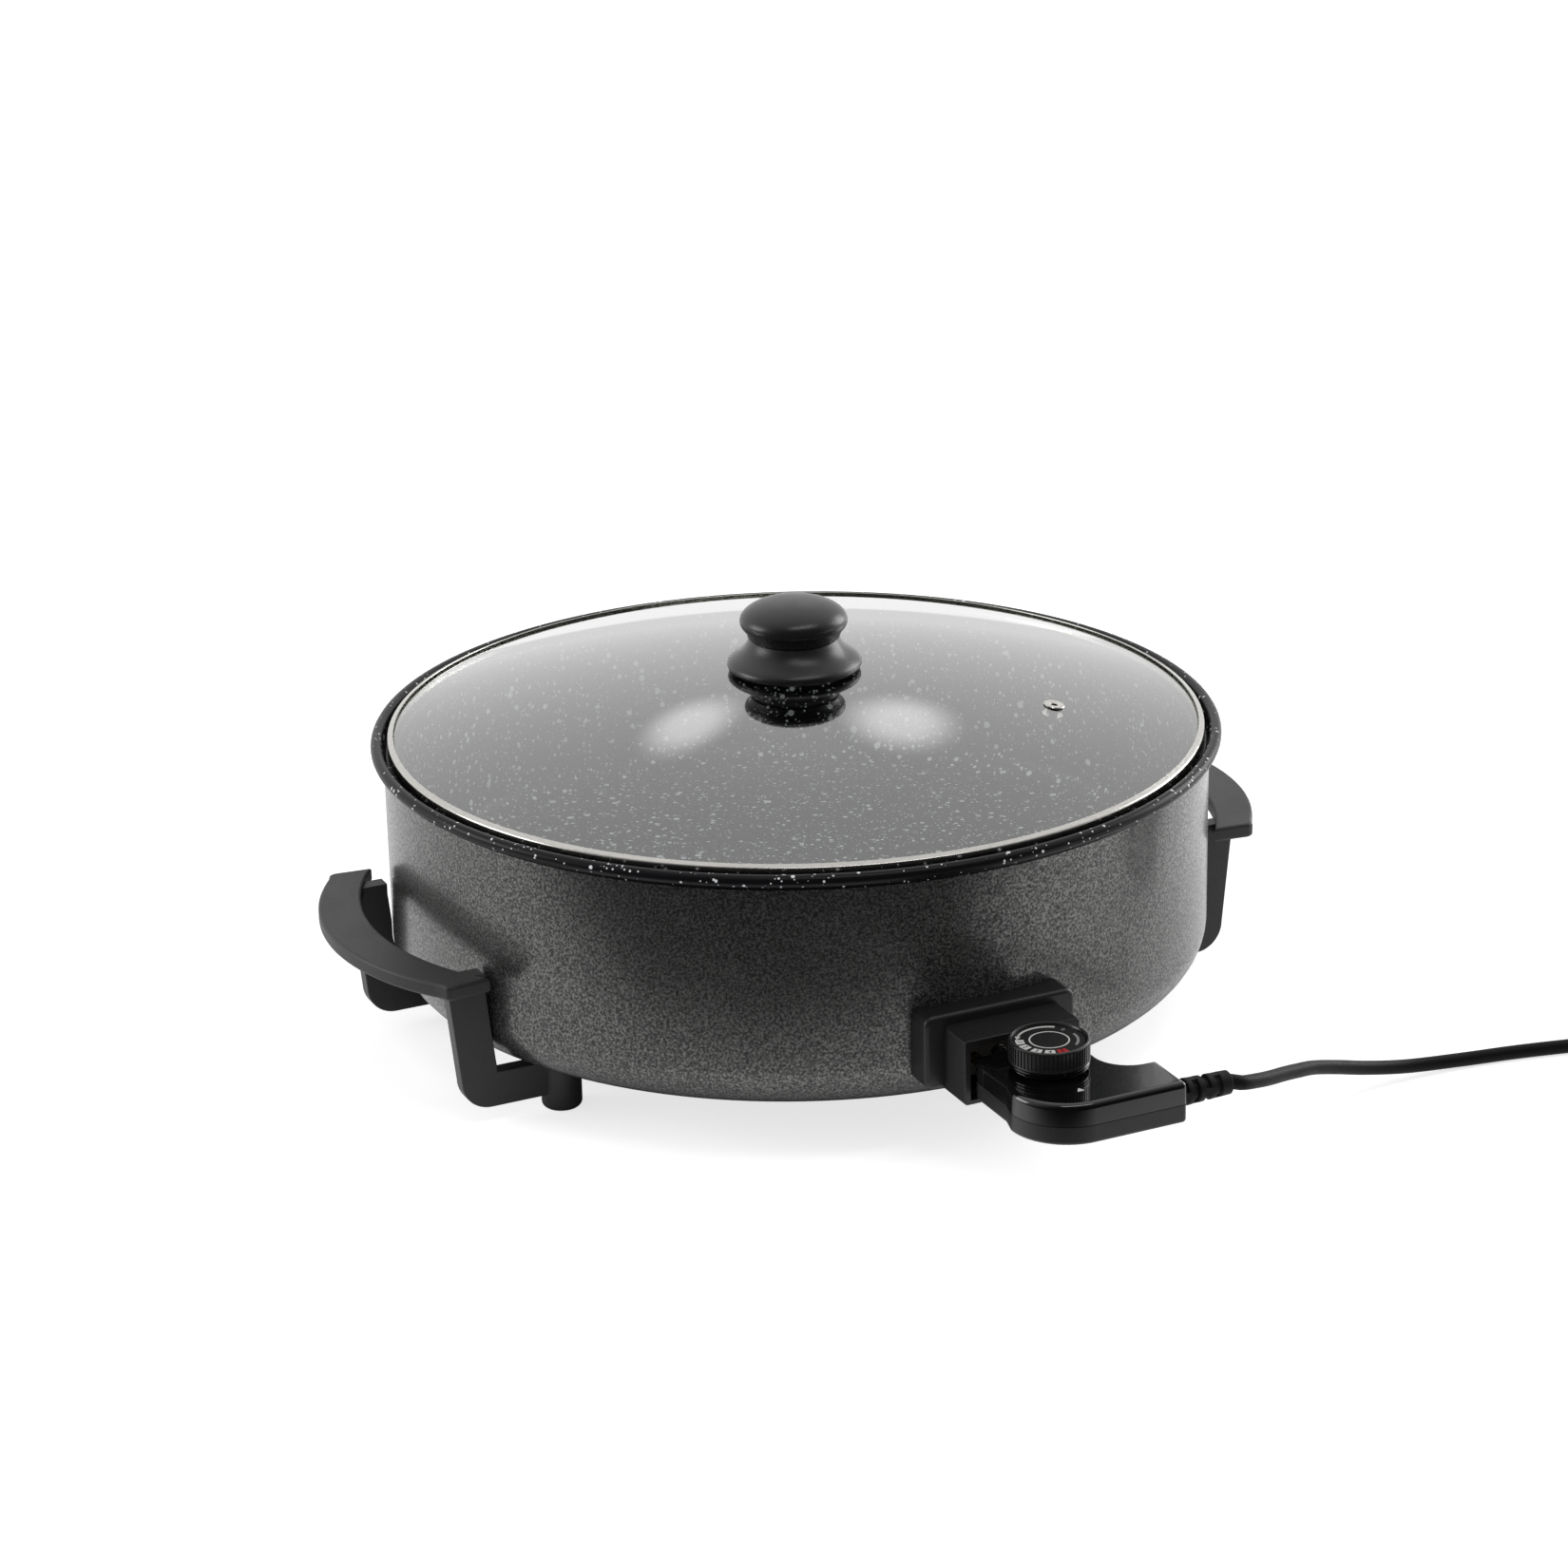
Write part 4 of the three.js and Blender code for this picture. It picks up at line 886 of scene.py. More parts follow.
# knob
knob = {
    "base": [
        (2.7, 178.2), (14, 178.2), (14, 176.9), (30.6, 176.9), (31.9, 177.1), (32.8, 177.8),
        (33.2, 178.9), (33.1, 179.9), (32.5, 181.0), (31.2, 182.2), (29.4, 183.5), (27.4, 184.9),
        (25.6, 186.5), (24.1, 188.3), (23.0, 190.2), (22.3, 191.6), (21.8, 192.2), (2.7, 192.2),
        (2.7, 178.2),
    ],
    "capLow": 192.5,
    "capFoot": [  # heights from capLow
        (22.3, 0), (22.8, 0.5), (23.3, 2.4), (24.6, 4.6), (25.2, 5.0), (25.9, 5.9), (26.4, 7.1),
    ],
    "bore": (2.7, 198.3),  # radius and top of the screw's hole in the cap
    "shoulder": (26.6, 201.0),
    "crown": 11.0,
    "crownSteps": 16,
    "steps": 96,
}


def makeKnob():
    base = turnPiece("knob_flare", knob["base"], knob["steps"])
    smooth(base, 50)
    dress(base, finish["knobSatin"], "lid", "matte_black", "knob_base")
    low, steps = knob["capLow"], knob["crownSteps"]
    bore, boreTop = knob["bore"]
    wide, height = knob["shoulder"]
    angles = [math.pi / 2 * i / steps for i in range(1, steps)]
    crown = [(wide * math.cos(a), height + knob["crown"] * math.sin(a)) for a in angles]
    cap = [
        (0, boreTop), (bore, boreTop), (bore, low), *[(r, low + z) for r, z in knob["capFoot"]],
        (wide, height), *crown, (0, height + knob["crown"]),
    ]
    piece = turnPiece("knob_top", cap, knob["steps"])
    smooth(piece, 50)
    dress(piece, finish["knobSatin"], "lid", "matte_black", "knob_cap")


# handles
grip = {
    "outerX": 246.0,
    "width": 22.5,
    "outerArc": 131.0,
    "innerArc": 135.5,
    "half": 81.5,
    "skew": 2.0,
    "endRound": 5.0,
    "low": 72.0,
    "high": 79.5,
    "edge": 1.7,
}
leg = {
    "face": 68.5,
    "thickness": 8.0,
    "outer": 214.8,
    "width": 18.2,
    "lean": 5.0,
    "innerLean": 5.1,
    "top": 77.2,
    "armLow": 8.3,
    "armHigh": 25.9,
    "elbow": 14.5,
    "edge": 0.9,
}
post = {
    "x": 158.0,
    "y": 64.5,
    "radius": 9.8,
    "round": 3.0,
    "top": 26.7,
    "recess": (4.3, 8.3),  # radius and depth of the hollow for the screw's head
    "bore": (2.7, 30.0),
}
handleShift = {"left": 0.0, "right": 6.0}  # towards the back


def gripOutline():
    outerCentre = grip["outerX"] - grip["outerArc"]
    innerCentre = grip["outerX"] - grip["width"] - grip["innerArc"]
    outerEnd = math.degrees(math.asin((grip["half"] - grip["endRound"]) / grip["outerArc"]))
    innerEnd = math.degrees(math.asin((grip["half"] - grip["skew"]) / grip["innerArc"]))
    outer = arcPoints(outerCentre, 0, grip["outerArc"], -outerEnd, outerEnd, 32)
    inner = arcPoints(innerCentre, 0, grip["innerArc"], innerEnd, -innerEnd, 32)
    x, y = outer[-1]
    turn = arcPoints(x - grip["endRound"], y, grip["endRound"], outerEnd, 90, 6)[1:]
    other = [(a, -b) for a, b in turn][::-1]
    return [(a * mm, b * mm) for a, b in other + outer + turn + inner]


def legOutline():
    inner = leg["outer"] - leg["width"]
    foot = leg["outer"] - leg["lean"]
    elbow = leg["elbow"]
    points = [
        (post["x"], leg["armLow"]),
        *arcPoints(foot - elbow, leg["armLow"] + elbow, elbow, -90, 0, 12),
        (leg["outer"], grip["low"]), (leg["outer"], leg["top"]), (inner, leg["top"]),
        (inner, grip["low"]), (inner - leg["innerLean"], leg["armHigh"]),
        (post["x"], leg["armHigh"]),
    ]
    return [(x * mm, z * mm) for x, z in points]


def makeLeg(end):
    outline = legOutline()
    near = leg["face"] - leg["thickness"] if end > 0 else -leg["face"]
    points = [(x, near * mm, z) for x, z in outline]
    piece = pushPiece("legPart", points, (0, leg["thickness"] * mm, 0))
    below = grip["low"] * mm - flush  # the edges inside the grip stay sharp

    def showing(a, b):
        return abs(a.y - b.y) < flush and min(a.z, b.z) < below

    return bevelWhere(piece, showing, leg["edge"] * mm, 3)


def makePost(end):
    r, bend, top = post["radius"], post["round"], post["top"]
    profile = [(0, 0), *arcPoints(r - bend, bend, bend, -90, 0, 6), (r, top), (0, top)]
    return turnPiece("postPart", profile, 48, post["x"] * mm, end * post["y"] * mm)


def makeGrip():
    piece = raisePiece("handle_grip", gripOutline(), grip["low"] * mm, grip["high"] * mm)
    return bevelWhere(piece, lambda a, b: abs(a.z - b.z) < flush, grip["edge"] * mm, 5)


def makeHandles():
    piece = makeGrip()
    for end in (-1, 1):
        combine(piece, makeLeg(end))
        combine(piece, makePost(end))
    for end in (-1, 1):
        x, y = post["x"] * mm, end * post["y"] * mm
        for tool in ("recess", "bore"):
            r, depth = post[tool]
            cut(piece, rodPiece(f"{tool}Tool", r * mm, (x, y, -spare * mm), (x, y, depth * mm)))
    clear = wallRoom()
    for word, side in (("left", -1), ("right", 1)):
        handle = copyOf(piece, f"handle_mould_{word}")
        shift = Matrix.Translation((0, panY + handleShift[word] * mm, 0))
        shapeWith(handle, shift @ Matrix.Diagonal((side, 1, 1, 1)))
        if side < 0:
            editing(handle)
            bpy.ops.mesh.select_all(action="SELECT")
            bpy.ops.mesh.normals_make_consistent(inside=False)
            leaveEdit()
        cut(handle, clear, keep=True)
        smooth(handle, 32)
        dress(handle, finish["matte_black"], "skillet", "matte_black", f"handle_{word}")
    bpy.data.objects.remove(clear)
    bpy.data.objects.remove(piece)


# socket for the probe
socket = {
    "flange": (39.0, 41.7, 78.2),  # half width, bottom, top
    "flangeFront": 215.0,
    "flangeBack": 194.0,
    "corner": 5.0,
    "edge": 2.2,
    "shroud": (29.7, 41.3, 73.0),
    "shroudFront": 236.0,
    "shroudDepth": 26.0,
    "shroudCorner": 1.6,
    "shroudEdge": 0.6,
    "mouth": (26.8, 43.5, 70.1),
    "mouthFloor": 212.7,
    "pocket": (25.3, 43.7, 61.3),
    "pocketBack": 190.0,
    "screw": (32.5, 50.0, 2.0),  # place along X, height, hole radius
    "screwFront": 208.7,
    "pinSpacing": 12.5,
    "axis": 52.7,
}


def frontOutline(half, low, high, corner, distance):
    y = panY - distance * mm
    return [(x * mm, y, z * mm) for x, z in roundedBox(-half, half, low, high, corner, 6)]


def frontBox(name, sizes, near, far):
    half, low, high = sizes
    start = (-half * mm, panY - far * mm, low * mm)
    return boxPiece(name, start, (half * mm, panY - near * mm, high * mm))


def frontBlock(name, part, depth, corner, edge, segments):
    # a block behind a front face, with round corners and a bevel round that face
    front = socket[f"{part}Front"]
    y = panY - front * mm
    piece = pushPiece(name, frontOutline(*socket[part], corner, front), (0, depth * mm, 0))

    def onFront(a, b):
        return max(abs(a.y - y), abs(b.y - y)) < flush

    return bevelWhere(piece, onFront, edge * mm, segments)


def makeSocket():
    mouthFloor = socket["mouthFloor"]
    depth = socket["flangeFront"] - socket["flangeBack"]
    piece = frontBlock("probe_socket", "flange", depth, socket["corner"], socket["edge"], 5)
    shape = (socket["shroudDepth"], socket["shroudCorner"], socket["shroudEdge"])
    combine(piece, frontBlock("shroudPart", "shroud", *shape, 3))
    cut(piece, wallRoom())
    cut(piece, frontBox("mouthTool", socket["mouth"], mouthFloor, socket["shroudFront"] + spare))
    cut(piece, frontBox("pocketTool", socket["pocket"], socket["pocketBack"], mouthFloor + 1))
    x, z, r = (value * mm for value in socket["screw"])
    y = panY - socket["screwFront"] * mm
    for side in (-1, 1):
        cut(piece, rodPiece("screwTool", r, (side * x, 0, z), (side * x, y, z), 24))
    smooth(piece, 32)
    dress(piece, finish["socketSatin"], "skillet", "matte_black", "socket_housing")


def layOut(piece, x=0.0, z=socket["axis"]):
    # a piece turned round the frame's Z axis is laid along the front axis, its heights pointing out
    place = Matrix.Translation((x * mm, panY, z * mm))
    return shapeWith(piece, place @ Matrix.Rotation(math.pi / 2, 4, "X"))


def roundEnded(radius, start, end, bend):
    return [
        (0, start), (radius, start), (radius, end - bend),
        *arcPoints(radius - bend, end - bend, bend, 0, 90, 6), (0, end),
    ]


# what reaches through the socket: radii, and distances from the pan's axis
contact = {
    "pin": (2.5, 201.8, 249.3, 1.6),  # radius, back, front, rounding
    "sleeve": [
        (2.8, 234.3), (3.4, 234.3), (3.6, 234.6), (3.6, 264.3), (2.8, 264.3), (2.8, 234.3),
    ],
    "rod": (3.0, 136.3, 264.3, 1.6),
    "guide": [(3.3, 109.8), (4.0, 109.8), (4.0, 212.4), (3.6, 212.4), (3.3, 212.1), (3.3, 109.8)],
}


def makeContacts():
    for word, side in (("left", -1), ("right", 1)):
        x = side * socket["pinSpacing"]
        pin = layOut(turnPiece(f"power_pin_{word}", roundEnded(*contact["pin"]), 32, 0, 0), x)
        dress(smooth(pin, 40), finish["brass"], "skillet", "brass", f"terminal_pin_{word}")
        sleeve = layOut(turnPiece(f"power_sleeve_{word}", contact["sleeve"], 32, 0, 0), x)
        dress(smooth(sleeve, 40), finish["brass"], "probe", "brass", f"contact_sleeve_{word}")
    r, start, end, bend = contact["rod"]
    tip = [(0, start), *arcPoints(r - bend, start + bend, bend, -90, 0, 5), (r, end), (0, end)]
    rod = layOut(turnPiece("sensing_rod", tip, 36, 0, 0))
    dress(smooth(rod, 40), finish["zinc_steel"], "probe", "zinc_steel", "sensor_rod")
    pipe = layOut(turnPiece("rod_guide", contact["guide"], 36, 0, 0))
    dress(smooth(pipe, 40), finish["zinc_steel"], "skillet", "zinc_steel", "sensor_guide")


# probe body
probe = {
    "low": 44.6,
    "top": 64.4,
    "seam": (53.5, 53.8),
    "wall": 2.0,
    "topRound": 2.8,
    "bottomRound": 1.8,
    "roundSteps": 8,
    "roomRound": 0.3,
    "faceInset": 0.4,  # the flat face starts this far inside its rounded edge
    # its outline: places along X and Y, Y from the pan's axis
    "half": 25.2,
    "back": -234.0,
    "backCorner": 6.0,
    "waist": (41.2, -259.5, 16.0),  # centre and radius of the hollow round beside the dial
    "arm": 47.0,  # the end that holds the lead
    "armBack": -275.5,
    "front": -304.0,
    "sideCorner": 2.2,
    "nose": (0.5, -275.8, 28.2),
    "cheek": -267.0,
    "screws": ((-20.5, -279), (28.8, -289.75)),
    "boss": (3.6, 45.6, 63.4),  # radius, bottom, top
    "bore": (1.8, 56.0, 59.9),  # radius, its end in the lower half, its end in the upper one
    "head": (3.3, 45.9),
    "pinHole": 3.9,
    "rodHole": 3.3,
    "backWall": (232.0, 238.5),
    "neck": (4.8, 44.5, 49.0),  # radius, and from where to where along X
    "shaft": (3.3, 55.0, 67.0),
    "below": 40.0,  # cutting tools start at these heights, below the lower half and in the hollow
    "inside": 50.0,
    "pointer": [(-1.6, -290.1), (2.1, -290.1), (0.5, -286.7)],
    "pointerInk": (-0.05, 0.12),
    "dialY": -261.0,
    "reliefY": -289.75,
    "reliefZ": 52.6,
}


def probeCorner(x, y, dx, dy, inset, size, start):
    # a rounded corner of the outline; dx and dy say which way inwards is
    x, y = x + dx * inset, y + dy * inset
    left = max(size - inset, 0)
    return arcPoints(x + dx * left, y + dy * left, left, start, start - 90, 5)


def probeRing(inset, z):
    half, back, arm = probe["half"], probe["back"], probe["arm"]
    bend, turn = probe["backCorner"], probe["sideCorner"]
    waistX, waistY, waist = probe["waist"]
    noseX, noseY, nose = probe["nose"]
    outline = [
        *probeCorner(-half, back, 1, -1, inset, bend, 180),
        *probeCorner(half, back, -1, -1, inset, bend, 90),
        *arcPoints(waistX, waistY, waist + inset, 180, 270, 12),
        *probeCorner(arm, probe["armBack"], -1, -1, inset, turn, 90),
        *probeCorner(arm, probe["front"], -1, 1, inset, turn, 0),
        *arcPoints(noseX, noseY, nose - inset, 270, 180, 20),
        (-half + inset, probe["cheek"] + inset),
    ]
    return [(x * mm, panY + y * mm, z * mm) for x, y in outline]


def probeHalf(name, flat, end, bend, inset):
    # from the flat seam to the rounded outer face, which may be above or below it
    way = 1 if end > flat else -1
    rings = [probeRing(inset, flat)]
    for i in range(probe["roundSteps"] + 1):
        a = math.pi / 2 * i / probe["roundSteps"]
        drawIn = bend * (1 - math.cos(a))
        rings.append(probeRing(inset + drawIn, end - way * bend * (1 - math.sin(a))))
    rings.append(probeRing(inset + bend + probe["faceInset"], end))
    return stackPiece(name, rings)


def probeRod(name, radius, x, y, low, high, sides):
    # an upright bar at a place in the probe's outline
    x, y = x * mm, panY + y * mm
    return rodPiece(name, radius * mm, (x, y, low * mm), (x, y, high * mm), sides)


def makeProbe():
    t = probe["wall"]
    low, high = probe["seam"]
    upper = probeHalf("probe_cover", high, probe["top"], probe["topRound"], 0)
    cut(upper, probeHalf("roomTool", high - 1, probe["top"] - t, probe["topRound"] - t, t))
    lower = probeHalf("probe_base", low, probe["low"], probe["bottomRound"], 0)
    cut(lower, probeHalf("roomTool", low + 1, probe["low"] + t, probe["roomRound"], t))
    boss, bossLow, bossHigh = probe["boss"]
    bore, boreLow, boreHigh = probe["bore"]
    head, headTop = probe["head"]
    below, inside = probe["below"], probe["inside"]
    for x, y in probe["screws"]:
        combine(upper, probeRod("bossPart", boss, x, y, high, bossHigh, 32))
        combine(lower, probeRod("bossPart", boss, x, y, bossLow, low, 32))
        cut(upper, probeRod("boreTool", bore, x, y, inside, boreHigh, 24))
        cut(lower, probeRod("boreTool", bore, x, y, below, boreLow, 24))
        cut(lower, probeRod("headTool", head, x, y, below, headTop, 32))
    back, front = (panY - distance * mm for distance in probe["backWall"])
    apart, axis = socket["pinSpacing"], socket["axis"] * mm
    neck, neckStart, neckEnd = (value * mm for value in probe["neck"])
    y, z = panY + probe["reliefY"] * mm, probe["reliefZ"] * mm
    for piece in (upper, lower):
        for x, hole in ((-apart, "pinHole"), (0, "rodHole"), (apart, "pinHole")):
            start, end = (x * mm, front, axis), (x * mm, back, axis)
            cut(piece, rodPiece("holeTool", probe[hole] * mm, start, end, 32))
        cut(piece, rodPiece("neckTool", neck, (neckStart, y, z), (neckEnd, y, z), 32))
    shaft, shaftLow, shaftHigh = probe["shaft"]
    cut(upper, probeRod("shaftTool", shaft, 0, probe["dialY"], shaftLow, shaftHigh, 32))
    dress(smooth(upper, 30), finish["gloss_black"], "probe", "gloss_black", "probe_top_shell")
    dress(smooth(lower, 30), finish["satin_black"], "probe", "satin_black", "probe_bottom_shell")
    mark = [(x * mm, panY + y * mm) for x, y in probe["pointer"]]
    under, over = ((probe["top"] + ink) * mm for ink in probe["pointerInk"])
    arrow = raisePiece("pointer_mark", mark, under, over)
    dress(arrow, finish["printWhite"], "probe", "gloss_black")


# dial
dial = {
    "collar": [
        (8, 64.7), (14, 64.7), (14, 65.6), (16.2, 66.2), (18.0, 66.4), (18.3, 66.7), (18.3, 67.2),
        (18.0, 67.4), (17.3, 67.5), (17.3, 67.8), (18.0, 67.9), (18.5, 68.1), (18.5, 68.6),
        (18.2, 68.8), (8, 68.8), (8, 64.7),
    ],
    "cap": [
        (3.3, 69.1), (18.3, 69.1), (18.6, 69.4), (18.6, 70.3), (17.9, 70.5), (17.9, 77.6),
        (18.3, 77.9), (18.5, 78.3), (18.4, 78.8), (18.0, 79.1), (17.5, 79.2), (17.1, 79.0),
        (16.7, 78.2), (16.6, 77.1), (0, 77.1), (0, 74.4), (3.3, 74.4), (3.3, 69.1),
    ],
    "steps": 96,
    "capSteps": 120,
    "ribs": 60,
    "ribRoom": 17.5,
    "ribRoot": 17.65,
    "ribTop": 18.5,
    "ribRise": (69.9, 78.0),
    "ribShape": ((0.0, "ribRoot"), (0.3, "ribRoot"), (0.42, "ribTop"), (0.88, "ribTop")),
    "plate": [(0, 77.4), (16.3, 77.4), (16.3, 77.9), (16.2, 78), (0, 78)],
    "top": 78.0,
    "ink": (-0.05, 0.05),
    "digitInk": (0.07, 0.03, 0.04),  # height above the plate, half its depth, how much bolder
    "blocks": (11.6, 15.5, 20.0),  # inner and outer radius, degrees wide
    "blockAngles": (-196.5, -171.0, -143.0, -117.0, -92.5),
    "digitSize": 3.4,
    "zero": (3.2, 33, 13.2),  # size, angle, radius
    "arcs": [  # name, inner and outer radius, first and last degree, finish, width left at the end
        ("scale_ring_a", 8.6, 9.3, 0, 180, "printWhite", 1.0),
        ("scale_ring_b", 8.6, 9.3, 180, 360, "printWhite", 1.0),
        ("scale_sweep", 13.7, 15.3, 52, 141, "printWhite", 0.5),
        ("scale_arrow", 13.1, 15.9, 139, 152, "printWhite", 0.05),
        ("scale_band", 12.4, 13.6, -52, 4, "printGrey", 1.0),
    ],
    "degreesPerStep": 4,
}


def ribOutline():
    places = []
    for i in range(dial["ribs"]):
        for share, r in dial["ribShape"]:
            a = 2 * math.pi * (i + share) / dial["ribs"]
            places.append((dial[r] * mm * math.cos(a), dial[r] * mm * math.sin(a)))
    y = panY + probe["dialY"] * mm
    return [(a, y + b) for a, b in places]


def onDial(x, y, z=dial["top"]):
    return (x * mm, panY + (probe["dialY"] + y) * mm, z * mm)


def inkArc(name, inner, outer, start, end, material, thin=1.0):
    # a printed band between two radii, which may thin towards its end
    count = max(4, round(abs(end - start) / dial["degreesPerStep"]))
    middle, half = (inner + outer) / 2, (outer - inner) / 2
    places = []
    for side in (1, -1):
        for i in range(count + 1):
            step = i if side > 0 else count - i
            a = math.radians(start + (end - start) * step / count)
            r = middle + side * half * (1 + (thin - 1) * step / count)
            places.append(onDial(r * math.cos(a), r * math.sin(a))[:2])
    low, high = ((dial["top"] + ink) * mm for ink in dial["ink"])
    return dress(raisePiece(name, places, low, high), finish[material], "dial", "satin_black")


def inkDigit(name, text, size, angle, radius, material):
    over, depth, bolder = dial["digitInk"]
    bpy.ops.object.select_all(action="DESELECT")
    bpy.ops.object.text_add()
    piece = bpy.context.object
    piece.data.body = text
    piece.data.size = size * mm
    piece.data.extrude = depth * mm
    piece.data.offset = bolder * mm
    piece.data.align_x = "CENTER"
    piece.data.align_y = "CENTER"
    bpy.ops.object.convert(target="MESH")
    piece = bpy.context.object
    piece.name = name
    piece.data.name = name
    a = math.radians(angle)
    place = onDial(radius * math.cos(a), radius * math.sin(a), dial["top"] + over)
    shapeWith(piece, Matrix.Translation(place) @ Matrix.Rotation(a + math.pi / 2, 4, "Z"))
    return dress(piece, finish[material], "dial", "satin_black")


def makeDial():
    y, steps = panY + probe["dialY"] * mm, dial["steps"]
    collar = turnPiece("dial_seat", dial["collar"], steps, 0, y)
    dress(smooth(collar, 30), finish["gloss_black"], "probe", "gloss_black", "dial_collar")
    cap = turnPiece("dial_grip", dial["cap"], dial["capSteps"], 0, y)
    low, high = dial["ribRise"]
    ribs = raisePiece("ribPart", ribOutline(), low * mm, high * mm)
    r = dial["ribRoom"]
    room = [(0, low - 1), (r, low - 1), (r, high + 1), (0, high + 1)]
    cut(ribs, turnPiece("ribRoom", room, steps, 0, y))
    combine(cap, ribs)
    dress(smooth(cap, 30), finish["dialSatin"], "dial", "gloss_black", "dial_cap")
    plate = turnPiece("dial_face", dial["plate"], steps, 0, y)
    dress(smooth(plate, 30), finish["satin_black"], "dial", "satin_black", "dial_plate")
    inner, outer, wide = dial["blocks"]
    middle, size = (inner + outer) / 2, dial["digitSize"]
    for number, angle in enumerate(dial["blockAngles"], 1):
        material = "printRed" if angle == dial["blockAngles"][-1] else "printWhite"
        inkArc(f"scale_block_{number}", inner, outer, angle - wide / 2, angle + wide / 2, material)
        inkDigit(f"scale_digit_{number}", str(number), size, angle, middle, "satin_black")
    for arc in dial["arcs"]:
        inkArc(*arc)
    inkDigit("scale_zero", "0", *dial["zero"], "printGrey")


# strain relief: rings joined by webs that change sides from gap to gap
relief = {
    "start": 47.3,
    "length": 29.0,
    "anchor": [(0, 42), (5.7, 42), (5.7, 44.7), (4.5, 44.7)],  # its head, held inside the probe
    "neck": 4.5,
    "rings": 5,
    "radius": (6.5, 5.6),
    "core": 4.3,
    "ringShare": 0.52,
    "ringEdge": 0.4,
    "groove": 0.2,
    "bore": 3.6,
    "web": (3.4, 1.7),
    "webOverlap": 0.6,
    "webInset": 0.15,
}


def makeRelief():
    begin, length, core = relief["start"], relief["length"], relief["core"]
    last = relief["rings"] - 1
    pitch = length / relief["rings"]
    ringLength, edge, groove = pitch * relief["ringShare"], relief["ringEdge"], relief["groove"]

    def radiusAt(x):
        near, far = relief["radius"]
        return near + (far - near) * (x - begin) / length

    profile = relief["anchor"] + [(relief["neck"], begin)]
    for i in range(last + 1):
        x0 = begin + i * pitch
        x1 = x0 + ringLength if i < last else begin + length
        r0, r1 = radiusAt(x0), radiusAt(x1)
        profile += [(r0 - edge, x0), (r0, x0 + edge), (r1, x1 - edge), (r1 - edge, x1)]
        if i < last:
            profile += [(core, x1 + groove), (core, x0 + pitch - groove)]
    profile += [(relief["bore"], begin + length), (0, begin + length)]
    piece = turnPiece("lead_boot", profile, 48, 0, 0)
    wide, depth = relief["web"]
    for i in range(last):
        x0 = begin + i * pitch + ringLength - relief["webOverlap"]
        x1 = begin + (i + 1) * pitch + relief["webOverlap"]
        reach = radiusAt(x1) - relief["webInset"]
        for side in (-1, 1):
            if i % 2:
                low, high = (side * reach, -wide / 2), (side * (reach - depth), wide / 2)
            else:
                low, high = (-wide / 2, side * reach), (wide / 2, side * (reach - depth))
            a = [min(p, q) * mm for p, q in zip(low, high)]
            b = [max(p, q) * mm for p, q in zip(low, high)]
            combine(piece, boxPiece("webPart", (*a, x0 * mm), (*b, x1 * mm)))
    place = Matrix.Translation((0, panY + probe["reliefY"] * mm, probe["reliefZ"] * mm))
    shapeWith(piece, place @ Matrix.Rotation(math.pi / 2, 4, "Y"))
    dress(smooth(piece, 35), finish["black_rubber"], "probe", "black_rubber", "strain_relief")


# mains plug: profiles of [radius, distance from the end where the lead comes in]
plug = {
    "place": (457.5, -212.0, 19.5),  # Y from the pan's axis
    "bore": (3.3, 2.0),
    "mouth": [(4.5, 0), (4.8, 0.4)],
    "bootRings": 5,
    "bootRing": (4.9, 1.5),
    "bootStep": (0.3, 3.6),  # how much wider and further on each next ring is
    "bootShape": [(0, 0), (0, 1.9), (-0.9, 2.2), (-0.9, 3.3)],
    "shoulder": [
        (6.2, 20), (11.5, 20.2), (13.4, 20.9), (14, 22.2), (14, 25), (14.3, 27), (15.4, 28.6),
        (17.4, 30.4), (18.8, 31.6), (19.5, 33.2),
    ],
    "grooves": 4,
    "groove": (19.5, 36.0),
    "grooveStep": 4.2,
    "grooveShape": [(0, 0), (-0.4, 0.4), (-0.4, 1.6), (0, 2)],
    "face": [(19.5, 66.6), (19.1, 67.6), (18.1, 68), (0, 68)],
    "steps": 80,
    "flat": 0.5,  # it stands on a flat this high above the table
    "pinsApart": 19.0,
    "pin": (2.4, 60, 87, 1.8),  # radius, back, front, rounding
    "seat": (2.7, 59.7, 70.0),
}


def plugPlace(x=0.0):
    # along the lead's last stretch, x to the side of its middle
    across, along, up = plug["place"]
    place = Matrix.Translation(((across + x) * mm, panY + along * mm, up * mm))
    return place @ Matrix.Rotation(-math.pi / 2, 4, "X")


